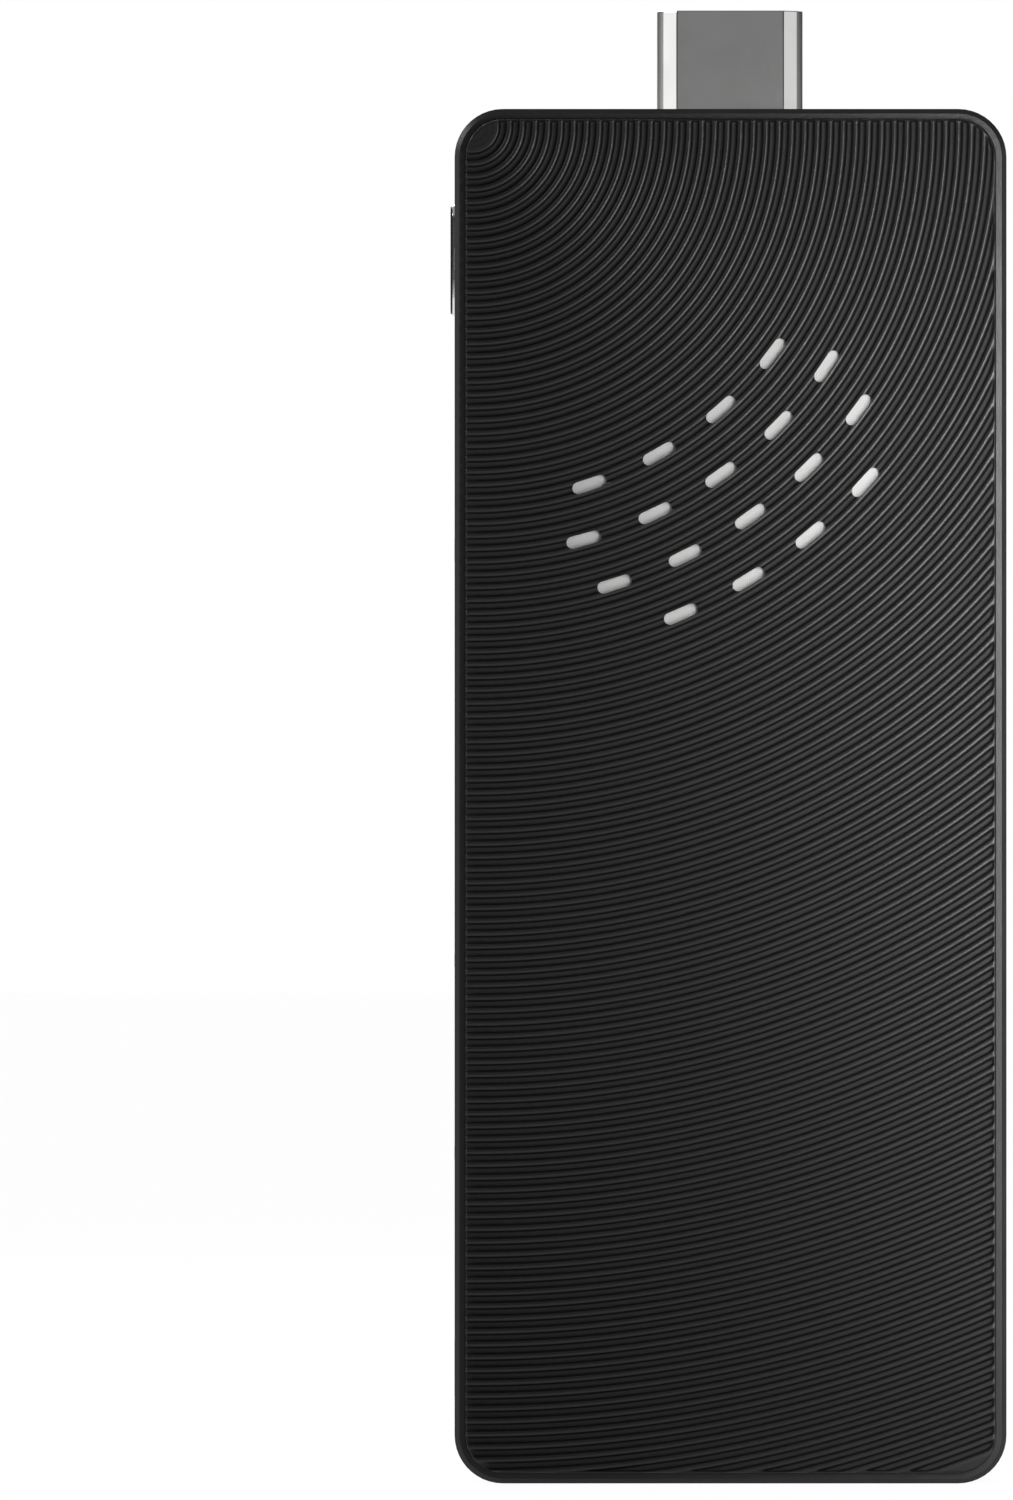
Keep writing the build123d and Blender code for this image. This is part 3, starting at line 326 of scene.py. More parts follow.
def ribbed_plastic(name, ridge_colour, wall_painted_shade, floor_painted_shade, ridge_rough, groove_rough):
    """Plastic that is glossier on the ribs' tops and dull in the grooves, whose colour holds
    painted shade: dark on their floors and darkest on their walls, as the distance from the
    groove's middle line tells them apart."""
    made = Finish(name, {"IOR": 1.5, "Specular IOR Level": 0.3})
    x, _, z = made.axes()
    dx, dz = x - RIB_X * MM, z - RIB_Z * MM
    radius = (dx * dx + dz * dz) ** 0.5
    turn = ((radius / MM - FIRST_MIDDLE) / PITCH + 400.5).fraction() - 0.5
    off_line = turn.absolute() * PITCH
    ridge = off_line.step(0.38, 0.43)
    wall = off_line.step(0.15, 0.23)
    skin = made.noise(6500.0)
    drift = made.noise(150.0, 3.0)
    # groove is painted shade: the floors' colour, and the darker walls' colour past the wall mask.
    groove = made.mix(wall, floor_painted_shade, wall_painted_shade)
    made.colour(ridge, groove, ridge_colour)
    made.set(
        "Roughness",
        groove_rough + (ridge_rough - groove_rough) * ridge
        + 0.1 * (drift - 0.5) + 0.06 * (skin - 0.5),
    )
    made.relief(skin, 0.000008)
    return made.material


# The second and third colours are painted shade for the grooves' walls and floors.
flat_ribs = ribbed_plastic(
    "flat cover ribs", (0.011, 0.011, 0.0112), (0.001, 0.001, 0.001), (0.004, 0.004, 0.0041),
    0.33, 0.6,
)
swell_ribs = ribbed_plastic(
    "swelling cover ribs", (0.013, 0.013, 0.0132), (0.001, 0.001, 0.001), (0.004, 0.004, 0.0042),
    0.3, 0.5,
)
print("rings every", PITCH, "mm about", (RIB_X, RIB_Z))

# %% [markdown]
# ## From arrays to pieces
#
# Each new piece is worked out as whole arrays of points in millimetres. One helper turns them into
# a mesh in metres, turns its faces outwards, marks the sharp edges, hangs the piece on the body it
# rides on and hides the solids it stands for.


# %% Making a piece from points and faces
def make_piece(
    name, points, faces, finishes, replaces=(), body="casing", sharp=40.0, indices=None
):
    """Builds a mesh object from millimetre points, smooth except over edges past sharp degrees."""
    mesh = bpy.data.meshes.new(name)
    mesh.from_pydata((np.asarray(points) * MM).tolist(), [], faces)
    if indices is not None:
        mesh.polygons.foreach_set("material_index", indices)
    piece = new_object(name, mesh)
    for finish in finishes if isinstance(finishes, list) else [finishes]:
        mesh.materials.append(finish)
    tidy_mesh(mesh, sharp)
    return settle(piece, body, replaces)


def tidy_mesh(mesh, sharp):
    """Turns all faces outwards, smooths them and keeps edges sharper than the angle crisp."""
    work = bmesh.new()
    work.from_mesh(mesh)
    bmesh.ops.recalc_face_normals(work, faces=work.faces)
    limit = math.radians(sharp)
    for face in work.faces:
        face.smooth = True
    for edge in work.edges:
        edge.smooth = len(edge.link_faces) == 2 and edge.calc_face_angle(0.0) < limit
    work.to_mesh(mesh)
    work.free()


def settle(piece, body, replaces=()):
    """Ties a finished piece to its body and hides the nodes it stands for."""
    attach(piece, body)
    if replaces:
        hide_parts(*replaces)
    print(piece.name, len(piece.data.vertices), "points")
    return piece


def grid_faces(rows, columns, close_rows=False, close_columns=False):
    """Four-sided faces between neighbouring rows and columns of a grid of points."""
    row = np.arange(rows if close_rows else rows - 1)
    column = np.arange(columns if close_columns else columns - 1)
    a, b = np.meshgrid(row, column, indexing="ij")
    a2, b2 = (a + 1) % rows, (b + 1) % columns
    row, row2 = a * columns, a2 * columns
    return np.stack([row + b, row + b2, row2 + b2, row2 + b], axis=-1).reshape(-1, 4).tolist()


# %% [markdown]
# ## Outlines carried along an axis
#
# Plug, sockets, button, marks and vent slots are made alike. A section is an outline with its
# outward normals, and each station grows or shrinks it and moves it along the axis. Stations
# close together at the mouth round its lip.


# %% Rounded sections and the sweep
ALONG_X, ALONG_Y, ALONG_Z = 0, 1, 2


def rounded_section(corners, radius, steps=7):
    """Points and outward normals of a convex polygon, run anticlockwise, with an arc at each
    corner: the arc's centre is the corner moved in along its bisector."""
    corners = np.array(corners, float)
    before = corners - np.roll(corners, 1, axis=0)
    after = np.roll(corners, -1, axis=0) - corners
    unit = [edge / np.linalg.norm(edge, axis=1, keepdims=True) for edge in (before, after)]
    normal_in, normal_out = (np.stack([edge[:, 1], -edge[:, 0]], axis=1) for edge in unit)
    bisector = normal_in + normal_out
    centre = corners - radius * 2 * bisector / (bisector**2).sum(axis=1, keepdims=True)
    first = np.arctan2(normal_in[:, 1], normal_in[:, 0])
    sweep = (np.arctan2(normal_out[:, 1], normal_out[:, 0]) - first) % (2 * math.pi)
    turn = first[:, None] + sweep[:, None] * np.linspace(0, 1, steps)[None, :]
    normal = np.stack([np.cos(turn), np.sin(turn)], axis=-1)
    points = centre[:, None, :] + radius * normal
    return points.reshape(-1, 2), normal.reshape(-1, 2)


def box_section(middle, half, radius, steps=7):
    """A rounded rectangle as such a section."""
    signs = np.array([(-1, -1), (1, -1), (1, 1), (-1, 1)])
    return rounded_section(np.array(middle) + signs * np.array(half), radius, steps)


def skin_loops(loops, closed=False):
    """Points and faces of a skin over a row of loops. A closed run joins the last loop to the
    first, as a tube with a wall, and an open one gets two caps."""
    rows, columns = loops.shape[:2]
    faces = grid_faces(rows, columns, close_rows=closed, close_columns=True)
    if not closed:
        last = (rows - 1) * columns
        faces += [list(range(columns)), list(range(last, last + columns))]
    return loops.reshape(-1, 3), faces


def carry(section, stations, axis, closed=False):
    """Stacks the section grown by each station's first number at its second, along the axis."""
    points, normals = section
    loops = [np.insert(points + normals * grow, axis, along, axis=1) for grow, along in stations]
    return skin_loops(np.stack(loops), closed)


def lip(wall, back, mouth, round_off):
    """Stations of a tube with a wall and a rounded mouth, from its back outside to its back
    inside."""
    turn = np.linspace(0, math.pi / 2, 5)
    curve = [(round_off * (1 - math.cos(t)), mouth - round_off * (1 - math.sin(t))) for t in turn]
    outer = [(-inward, along) for inward, along in curve]
    inner = [(inward - wall, along) for inward, along in curve[::-1]]
    return [(0.0, back), *outer, *inner, (-wall, back)]


def join_parts(parts):
    """Several point and face lists as one."""
    points, faces, start = [], [], 0
    for part_points, part_faces in parts:
        points.append(part_points)
        faces += [[start + corner for corner in face] for face in part_faces]
        start += len(part_points)
    return np.concatenate(points), faces


# %% [markdown]
# ## A ribbed cover as a polar grid
#
# The covers have rings about one corner, PITCH apart. A grid in polar coordinates follows every
# ring exactly: one parameter is the radius, with nine or eleven samples a pitch, and the other
# runs along the arc from where its circle enters the cover's outline to where it leaves it.


# %% Outline distance and where circles meet it
TURNS, HALVINGS = np.linspace(math.radians(-60), math.radians(150), 4201), 30


def outline_distance(x, z, middle, half, radius):
    """Distance outside a rounded rectangle, negative inside: the overshoot past the corner's
    centre lines as a hypotenuse, plus the nearer side where both are inside, less the radius."""
    qx = np.abs(x - middle[0]) - half[0] + radius
    qz = np.abs(z - middle[1]) - half[1] + radius
    beyond = np.hypot(np.maximum(qx, 0), np.maximum(qz, 0))
    return beyond + np.minimum(np.maximum(qx, qz), 0) - radius


def ring_point(radius, turn):
    """X and Z of a point on a ring: centre less radius times the cosine and sine of its turn."""
    return RIB_X - radius * np.cos(turn), RIB_Z - radius * np.sin(turn)


def ring_ends(radii, shares, depth, outline, opened):
    """The first and last turn of each circle inside the outline, drawn in by the depth of the
    ring's own groove where it is opened. A coarse search finds the samples either side of each
    crossing, and halving narrows them down."""
    x, z = ring_point(radii[:, None], TURNS[None, :])
    insets = shares * depth
    inside = outline_distance(x, z, *outline) + insets[:, None] * opened(x, z) < 0
    kept = inside.sum(axis=1) > 2
    radii, shares, insets, inside = radii[kept], shares[kept], insets[kept], inside[kept]
    first = inside.argmax(axis=1)
    last = inside.shape[1] - 1 - inside[:, ::-1].argmax(axis=1)
    ends = []
    for outer, inner in ((TURNS[first - 1], TURNS[first]), (TURNS[last + 1], TURNS[last])):
        outer, inner = outer.copy(), inner.copy()
        for _ in range(HALVINGS):
            half = (outer + inner) / 2
            x, z = ring_point(radii, half)
            within = outline_distance(x, z, *outline) + insets * opened(x, z) < 0
            inner, outer = np.where(within, half, inner), np.where(within, outer, half)
        ends.append(inner)
    return radii, shares, ends[0], ends[1]


# %% The rings' sections
# Each pair is a distance from the groove's middle line, in millimetres, and the share of the
# groove's depth there.
FLAT_SECTION = [
    (-0.42, 0.04), (-0.36, 0.3), (-0.27, 0.8), (-0.16, 1.0), (0.16, 1.0),
    (0.27, 0.8), (0.36, 0.3), (0.42, 0.04), (0.61, 0.0),
]
SWELL_SECTION = [
    (-0.4, 0.13), (-0.345, 0.42), (-0.285, 0.8), (-0.16, 1.0), (0.16, 1.0),
    (0.285, 0.8), (0.345, 0.42), (0.4, 0.13), (0.48, 0.03), (0.61, 0.0), (0.74, 0.03),
]


SECTOR_STEP, SECTOR_GAP = 0.13, 0.05


def ring_radii(section, first, last):
    """All radii of the samples, pitch by pitch, with their shares of the groove's depth. No
    groove starts inside the flat sector at the corner or beyond the last radius."""
    offsets = np.array(section)
    pitches = np.arange(int((last - FLAT_RADIUS) / PITCH) + 4)
    middles = FIRST_MIDDLE + pitches * PITCH
    radii = (middles[:, None] + offsets[None, :, 0]).ravel()
    shares = np.broadcast_to(offsets[:, 1], (len(pitches), len(offsets))).copy()
    shares[middles + GROOVE / 2 > LAST_RADIUS] = 0.0
    shares = shares.ravel()
    inner = np.arange(first, FLAT_RADIUS - SECTOR_GAP, SECTOR_STEP)
    radii, shares = np.concatenate([inner, radii]), np.concatenate([0 * inner, shares])
    kept = (radii > first) & (radii < last)
    ends = np.array([first, last])
    radii, shares = np.concatenate([radii[kept], ends]), np.concatenate([shares[kept], 0 * ends])
    order = np.argsort(radii)
    return radii[order], shares[order]


EDGE_STEPS = np.array([0.0, 0.03, 0.07, 0.12, 0.19, 0.3, 0.5, 0.9])


def ring_columns(lengths, count):
    """Places along each arc as shares of its length: close together within a millimetre of both
    ends, evenly spread between."""
    edge = EDGE_STEPS[None, :] * np.minimum(1, lengths / 4)[:, None]
    middle = count - 2 * len(EDGE_STEPS)
    even = np.linspace(0, 1, middle + 2)[1:-1][None, :]
    span = lengths[:, None] - 2 * edge[:, -1:]
    places = np.concatenate(
        [edge, edge[:, -1:] + even * span, lengths[:, None] - edge[:, ::-1]], axis=1
    )
    return places / lengths[:, None]


def polar_grid(section, reach, depth, outline, opened, columns):
    """Radii, shares of the groove's depth, turns, X and Z of a cover's grid."""
    radii, shares = ring_radii(section, *reach)
    radii, shares, start, end = ring_ends(radii, shares, depth, outline, opened)
    places = ring_columns(radii * (end - start), columns)
    turns = start[:, None] + places * (end - start)[:, None]
    return radii, shares[:, None], turns, *ring_point(radii[:, None], turns)


def smooth_step(value):
    """0 below 0, 1 above 1, and 3 v squared less 2 v cubed between."""
    value = np.clip(value, 0, 1)
    return value * value * (3 - 2 * value)


def rounded_drop(distance, radius):
    """How far a quarter-round edge lies below the top: the radius less the circle's height."""
    inward = np.clip(radius - distance, 0, radius)
    return radius - np.sqrt(radius**2 - inward**2)


# %% [markdown]
# A cover becomes a closed solid in three parts: the ribbed grid on top, a strip of wall round
# its border and one flat face underneath. The manifold boolean that cuts the vent slots wants
# such a watertight mesh.


# %% Closing a ribbed grid into a solid
def close_grid(top, seat):
    """Points and faces of a solid: the grid, the wall from its border to the seat's level, and
    the face that closes it there."""
    rows, columns = top.shape[:2]
    index = np.arange(rows * columns).reshape(rows, columns)
    border = np.concatenate([index[0, :-1], index[:-1, -1], index[-1, :0:-1], index[:0:-1, 0]])
    points = top.reshape(-1, 3)
    ring = points[border]
    ring[:, 1] = seat
    below = rows * columns + np.arange(len(border))
    wall = np.stack([border, below, np.roll(below, -1), np.roll(border, -1)], axis=1)
    faces = grid_faces(rows, columns) + wall.tolist() + [below.tolist()]
    return np.concatenate([points, ring]), faces


# %% Vent slots
COVER_SHARP, FEWEST_FACES = 65.0, 100
VENT_L, VENT_W, VENT_SPACING, VENT_TURN = 3.4, 1.15, 7.26, 54.5
VENT_RADIUS, VENT_STEP, VENT_COUNTS = 35.9, 4.876, (4, 5, 5, 4)


def slot_outline(length, width, steps=10):
    """A stadium, as two half circles of the width at either end of the length."""
    turn = np.linspace(-math.pi / 2, math.pi / 2, steps)
    half, radius = (length - width) / 2, width / 2
    right = np.stack([half + radius * np.cos(turn), radius * np.sin(turn)], axis=1)
    return np.concatenate([right, -right])


def vent_cutter(low_y, high_y):
    """Eighteen upright slot prisms on four rings, each turned to lie along its ring."""
    base = slot_outline(VENT_L, VENT_W)
    slots = []
    for ring, count in enumerate(VENT_COUNTS):
        radius = VENT_RADIUS + ring * VENT_STEP
        step = VENT_SPACING / radius
        for number in range(count):
            turn = math.radians(VENT_TURN) + (number - (count - 1) / 2) * step
            lie = turn - math.pi / 2
            c, s = math.cos(lie), math.sin(lie)
            flat = base @ np.array([[c, s], [-s, c]]) + np.array(ring_point(radius, turn))
            slots.append(carry((flat, 0 * flat), [(0, low_y), (0, high_y)], ALONG_Y))
    points, faces = join_parts(slots)
    mesh = bpy.data.meshes.new("vent cutter")
    mesh.from_pydata((points * MM).tolist(), [], faces)
    tidy_mesh(mesh, COVER_SHARP)
    return new_object("vent cutter", mesh)


def cut_away(piece, cutter):
    """Subtracts the cutter from a closed piece, applies the result and marks its sharp edges."""
    cut = piece.modifiers.new("cut", "BOOLEAN")
    cut.operation, cut.solver, cut.object = "DIFFERENCE", "MANIFOLD", cutter
    bpy.context.view_layer.update()
    evaluated = piece.evaluated_get(bpy.context.evaluated_depsgraph_get())
    result = bpy.data.meshes.new_from_object(evaluated)
    piece.modifiers.remove(cut)
    bpy.data.objects.remove(cutter)
    if len(result.polygons) < FEWEST_FACES:
        print("the cut failed and is left out on", piece.name)
        return
    piece.data = result
    tidy_mesh(result, COVER_SHARP)
    print(piece.name, "cut,", len(result.polygons), "faces")


def make_cover(name, grid, seat, finish, node, cut_levels):
    """Closes a cover's grid, makes a piece of it and cuts the vents between two levels of Y."""
    points, faces = close_grid(np.stack(grid, axis=-1), seat)
    piece = make_piece(name, points, faces, finish, [node], sharp=COVER_SHARP)
    cut_away(piece, vent_cutter(*cut_levels))


# %% [markdown]
# ## The flat ribbed cover
#
# This plate sits in the frame and stands 1.1 mm proud of it. Its grooves have flat floors and
# steep walls, run out through the edge at the port side, and end in rounded tips on the far side.

# %% Flat cover
PANEL_FACE, PANEL_SEAT, PANEL_DEPTH, PANEL_EDGE = 8.225, 6.325, 0.4, 0.18
PANEL_BORDER, PANEL_HALF, PANEL_CORNER, OPEN_SHIFT = 0.12, (25.25, 64.45), 3.55, 10.0
PANEL_OUTLINE = ((0.0, BODY_H / 2), PANEL_HALF, PANEL_CORNER)
OPEN_HALF = (PANEL_HALF[0] + OPEN_SHIFT, PANEL_HALF[1])
OPEN_OUTLINE = ((OPEN_SHIFT, BODY_H / 2), OPEN_HALF, PANEL_CORNER)
PANEL_REACH, PANEL_COLUMNS, FAR_RUN, LEAST_SLANT = (0.57, 136.55), 86, 8.0, 0.25


def flat_cover():
    """Height of the face less the ring's depth times a mask that closes the grooves near every
    side but the port's, less the rounded edge."""
    radii, shares, turns, x, z = polar_grid(
        FLAT_SECTION, PANEL_REACH, 0.0, PANEL_OUTLINE, lambda x, z: 1.0, PANEL_COLUMNS
    )
    off_line = (radii - FIRST_MIDDLE + PITCH / 2) % PITCH - PITCH / 2
    tip = GROOVE / 2 - np.sqrt(np.clip((GROOVE / 2) ** 2 - off_line**2, 0, None))
    border = -outline_distance(x, z, *OPEN_OUTLINE) - PANEL_BORDER
    far = smooth_step(1 - (x + PANEL_HALF[0]) / FAR_RUN)
    slant = np.clip(np.sin(turns), LEAST_SLANT, 1) * far
    opened = smooth_step((border - tip[:, None] * slant) / PANEL_BORDER)
    inside = -outline_distance(x, z, *PANEL_OUTLINE)
    y = PANEL_FACE - PANEL_DEPTH * shares * opened - rounded_drop(inside, PANEL_EDGE)
    make_cover("flat_cover_ribs", (x, y, z), PANEL_SEAT, flat_ribs, "bottom_cover", (0.0, 10.0))


flat_cover()

# %% [markdown]
# ## The swelling ribbed cover
#
# The other cover slopes away from the port side, and swells by 2.1 mm in one smooth wave near the
# plain end, where the clock battery lies. Its grooves also cut into the side wall, so each rib
# turns down the side as a fin. Drawing in the outline by each ring's own depth gives the fins.

# %% Swelling cover
COVER_PORT_Y, COVER_SLOPE, COVER_WALL_Y = -6.125, 1.1 / 51.65, -4.755
COVER_OUTLINE = ((-0.475, BODY_H / 2), (25.825, 64.55), 3.65)
COVER_PORT_X, COVER_EDGE, COVER_REACH, COVER_COLUMNS = 25.35, 0.22, (0.42, 137.2), 70
SWELL, SWELL_Z, SWELL_RUN, COVER_DEPTH = 2.1, 34.0, 15.5, 0.5
END_BORDER, END_RISE, LEAST_WALL = 1.35, 0.2, 0.02


def swell_at(z):
    """The swell as two arcs that meet half way: nothing above the run, all of it below."""
    share = np.clip((SWELL_Z + SWELL_RUN / 2 - z) / SWELL_RUN, 0, 1)
    return SWELL * np.where(share < 0.5, 2 * share**2, 1 - 2 * (1 - share) ** 2)


def end_border(x, z):
    """0 on the smooth border at the plain end and 1 above it, with a short rise between."""
    return smooth_step((z - END_BORDER) / END_RISE)


def swell_cover():
    """Level of the sloping face less the swell, plus the ring's depth and the rounded edge."""
    _, shares, _, x, z = polar_grid(
        SWELL_SECTION, COVER_REACH, COVER_DEPTH, COVER_OUTLINE, end_border, COVER_COLUMNS
    )
    sunk = COVER_DEPTH * shares * end_border(x, z)
    face = COVER_PORT_Y + COVER_SLOPE * (COVER_PORT_X - x) - swell_at(z)
    inside = -outline_distance(x, z, *COVER_OUTLINE) - sunk
    y = face + sunk + rounded_drop(inside, COVER_EDGE)
    y = np.minimum(y, COVER_WALL_Y - LEAST_WALL)
    make_cover(
        "swelling_cover_ribs", (x, y, z), COVER_WALL_Y, swell_ribs, "top_cover", (-10.0, 0.0)
    )


swell_cover()

# %% [markdown]
# ## The plug
#
# A standard plug is one strip of nickel-plated steel, folded into a tube: a full-width back, two
# square sides, and beside each of them two slopes that bend in to a narrower face.

# %% Plug shell
PLUG_ROOT, PLUG_TOP, PLUG_WALL, PLUG_LIP, PLUG_FOLD = 121.0, BODY_H + 9.5, 0.4, 0.13, 0.3
RIGHT_CORNERS = [(6.95, -0.895), (6.95, 1.35), (6.35, 2.35), (5.1, 3.555)]
plug_corners = [(-6.95, -0.895), *RIGHT_CORNERS, *[(-x, y) for x, y in RIGHT_CORNERS[:0:-1]]]
plug_section = rounded_section(plug_corners, PLUG_FOLD, 6)
stations = lip(PLUG_WALL, PLUG_ROOT, PLUG_TOP, PLUG_LIP)
points, faces = carry(plug_section, stations, ALONG_Z, closed=True)
make_piece("plug_shell", points, faces, plug_nickel, ["hdmi_shell"])

# %% [markdown]
# ## The sockets
#
# Each USB-A socket is a bright folded shell. Inside it a blue tongue carries the contacts. The
# inner faces get a darker, blue, half-metal finish of their own, which is painted shade in the
# socket's hollow and a painted reflection of the blue tongue.

# %% Lining with painted blue reflection and shade
lining_finish = Finish("lining with painted blue reflection and shade", {"Metallic": 0.35, "IOR": 1.5})
lining_cloud = lining_finish.noise(700.0)
# This colour is painted: shade in the socket's hollow and the blue tongue's reflection, not the
# metal's own colour.
lining_finish.colour(lining_cloud, (0.004, 0.03, 0.15), (0.008, 0.055, 0.23))
lining_finish.set("Roughness", 0.35 + 0.2 * lining_cloud)
lining_finish.relief(lining_cloud, 0.00001)
lining_with_painted_reflection = lining_finish.material

# %% USB-A shells
USB_HEIGHTS = (49.9, 31.5)
USB_Y, USB_HALF, USB_CORNER = 0.375, (2.725, 6.65), 0.7
USB_BACK, USB_MOUTH, USB_WALL, USB_LIP = 11.65, 26.15, 0.36, 0.13
for number, height in enumerate(USB_HEIGHTS, start=1):
    section = box_section((USB_Y, height), USB_HALF, USB_CORNER)
    stations = lip(USB_WALL, USB_BACK, USB_MOUTH, USB_LIP)
    points, faces = carry(section, stations, ALONG_X, closed=True)
    inner_row = len(stations) - 2
    rows = np.repeat(np.arange(len(stations)), len(section[0]))
    make_piece(
        f"usb_chrome_{number}", points, faces, [socket_chrome, lining_with_painted_reflection],
        [f"usb_shell_{number}"], indices=(rows == inner_row).astype(int),
    )

# %% [markdown]
# The four long contacts are springs. Each comes out of the tongue near its tip with a steep nose,
# bends back and runs along the tongue, so that it presses on the plug that comes in. Five flat
# pads lie at the tip itself, and a key stands on the tongue's other face.


# %% Bent contacts and the tongue's key
def bent_strip(path, halves, middle_z, thick=0.12):
    """A strip that follows a path in X and Y: its sides lie half the thickness off along n,
    where n is the run (dx, dy) turned to (-dy, dx) and brought to length 1."""
    path, halves = np.array(path, float), np.array(halves, float)
    run = np.gradient(path, axis=0)
    normal = np.stack([-run[:, 1], run[:, 0]], axis=1) / np.linalg.norm(run, axis=1)[:, None]
    ring = [(-1, 0.5), (1, 0.5), (1, -0.5), (-1, -0.5)]
    return skin_loops(np.stack([
        np.column_stack([path + lift * thick * normal, middle_z + side * halves])
        for side, lift in ring
    ], axis=1))


SPRING_PLACES, PAD_PLACES = (-3.5, -1.0, 1.0, 3.5), (-4.1, -2.05, 0.0, 2.05, 4.1)
PAD_Y, PAD_HALF, PAD_BACK, PAD_TIP = 0.78, (0.32, 0.62), 24.3, 24.81
KEY_Y, KEY_HALF, KEY_BACK, KEY_TIP = 2.41, (0.32, 1.53), 16.3, 25.25
SPRING_PATH = [
    (24.34, 0.55), (24.3, 0.2), (24.24, -0.25), (24.12, -0.6), (23.9, -0.76), (23.6, -0.78),
    (22.5, -0.55), (20.5, -0.05), (18.8, 0.36),
]
SPRING_HALVES = [0.46, 0.46, 0.5, 0.55, 0.58, 0.55, 0.5, 0.5, 0.5]
for number, height in enumerate(USB_HEIGHTS, start=1):
    points, faces = join_parts(
        [bent_strip(SPRING_PATH, SPRING_HALVES, height + off) for off in SPRING_PLACES]
    )
    make_piece(f"usb_springs_{number}", points, faces, spring_gold)
    stations = [(0, PAD_BACK), (0, PAD_TIP), (-0.03, PAD_TIP + 0.02)]
    points, faces = join_parts([
        carry(box_section((PAD_Y, height + off), PAD_HALF, 0.08, 3), stations, ALONG_X)
        for off in PAD_PLACES
    ])
    make_piece(f"usb_pads_{number}", points, faces, pale_gold)
    key = box_section((KEY_Y, height), KEY_HALF, 0.1, 4)
    stations = [(0, KEY_BACK), (0, KEY_TIP), (-0.05, KEY_TIP + 0.1)]
    points, faces = carry(key, stations, ALONG_X)
    make_piece(f"usb_key_{number}", points, faces, tongue_blue)

# %% [markdown]
# The power inlet is the small oval kind. Its shell is drawn from one piece of bright steel.

# %% USB-C shell
USBC_PLACE, USBC_HALF, USBC_CORNER = (-1.475, 11.9), (1.75, 4.7), 1.749
USBC_BACK, USBC_MOUTH, USBC_WALL, USBC_LIP = 18.6, 26.2, 0.45, 0.2
usbc_section = box_section(USBC_PLACE, USBC_HALF, USBC_CORNER, 12)
stations = lip(USBC_WALL, USBC_BACK, USBC_MOUTH, USBC_LIP)
points, faces = carry(usbc_section, stations, ALONG_X, closed=True)
make_piece("usb_c_chrome", points, faces, socket_chrome, ["usb_c_shell"])

# %% [markdown]
# ## The card slot
#
# The slot is a thin steel mouth. Its lower third is closed by the plate of the push-push catch,
# just behind the mouth. The plate moves in with the catch.

# %% Card catch plate
CARD_Y, PLATE_Z, PLATE_HALF, PLATE_BACK, PLATE_FRONT = -1.03, 80.95, (0.6, 1.95), 22.0, 25.55
plate_section = box_section((CARD_Y, PLATE_Z), PLATE_HALF, 0.08, 3)
stations = [(0, PLATE_BACK), (0, PLATE_FRONT), (-0.05, PLATE_FRONT + 0.07)]
points, faces = carry(plate_section, stations, ALONG_X)
make_piece("card_catch_plate", points, faces, cage_steel, body="card_catch")

# %% [markdown]
# ## The power button
#
# The button is a stadium that stands 0.4 mm proud. Its side and a narrow ledge round the face are
# cut bright, which draws the light outline round it, and its face keeps the casing's matt black.

# %% Button
BUTTON_FACE, BUTTON_Y, BUTTON_Z, BUTTON_HALF = 26.7, 1.57, 116.7, (1.8, 5.35)
FLANGE, FLANGE_BACK, FLANGE_FRONT, BRIGHT_STRIPS = 0.8, 23.65, 24.4, (2, 3, 4)
NUB_Y, NUB_RADIUS, NUB_TIP, NUB_ROOT, HAIR = 2.525, 0.8, 22.44, 23.6, 0.001
button_section = box_section((BUTTON_Y, BUTTON_Z), BUTTON_HALF, BUTTON_HALF[0] - HAIR, 14)
button_stations = [(FLANGE, FLANGE_BACK), (FLANGE, FLANGE_FRONT), (0.0, FLANGE_FRONT)] + [
    (grow, BUTTON_FACE - below)
    for grow, below in (
        (0.0, 0.26), (-0.03, 0.2), (-0.19, 0.17), (-0.21, 0.05), (-0.28, 0.0), (-0.6, 0.0)
    )
]
points, faces = carry(button_section, button_stations, ALONG_X)
size = len(button_section[0])
strip = np.repeat(np.arange(len(button_stations) - 1), size)
bright = np.isin(strip, BRIGHT_STRIPS).astype(int)
nub_section = box_section((NUB_Y, BUTTON_Z), (NUB_RADIUS, NUB_RADIUS), NUB_RADIUS - HAIR, 6)
nub = carry(nub_section, [(0, NUB_TIP), (0, NUB_ROOT)], ALONG_X)
points, faces = join_parts([(points, faces), nub])
indices = np.concatenate([bright, np.zeros(len(faces) - len(bright), int)])
make_piece(
    "button_cap", points, faces, [button_black, edge_alloy],
    ["power_button"], body="button", indices=indices,
)

# %% [markdown]
# ## Printed marks
#
# Printed marks are a film of paint a few hundredths of a millimetre thick. Each mark is made of
# strokes: a path with a width and rounded ends. They are generic: the sign for power, a plain
# card, the numbers of the two sockets and the sign for direct current.

# %% Strokes
PORT_X, MARK_ROOT, MARK_RISE = BODY_W / 2, 0.01, 0.018


def stroke(path, width):
    """A ribbon along a path of Y and Z points: the path moved half the width to either side, with
    a half circle round each end."""
    path = np.array(path, float)
    step = np.gradient(path, axis=0)
    step /= np.linalg.norm(step, axis=1, keepdims=True)
    side = np.stack([-step[:, 1], step[:, 0]], axis=1) * width / 2
    turn = np.linspace(0, math.pi, 9)[1:-1]

    def cap(middle, first, outward):
        return middle + np.cos(turn)[:, None] * first + np.sin(turn)[:, None] * outward * width / 2

    outline = np.concatenate(
        [path - side, cap(path[-1], -side[-1], step[-1]),
         (path + side)[::-1], cap(path[0], side[0], -step[0])]
    )
    stations = [(0, PORT_X - MARK_ROOT), (0, PORT_X + MARK_RISE)]
    return carry((outline, 0 * outline), stations, ALONG_X)


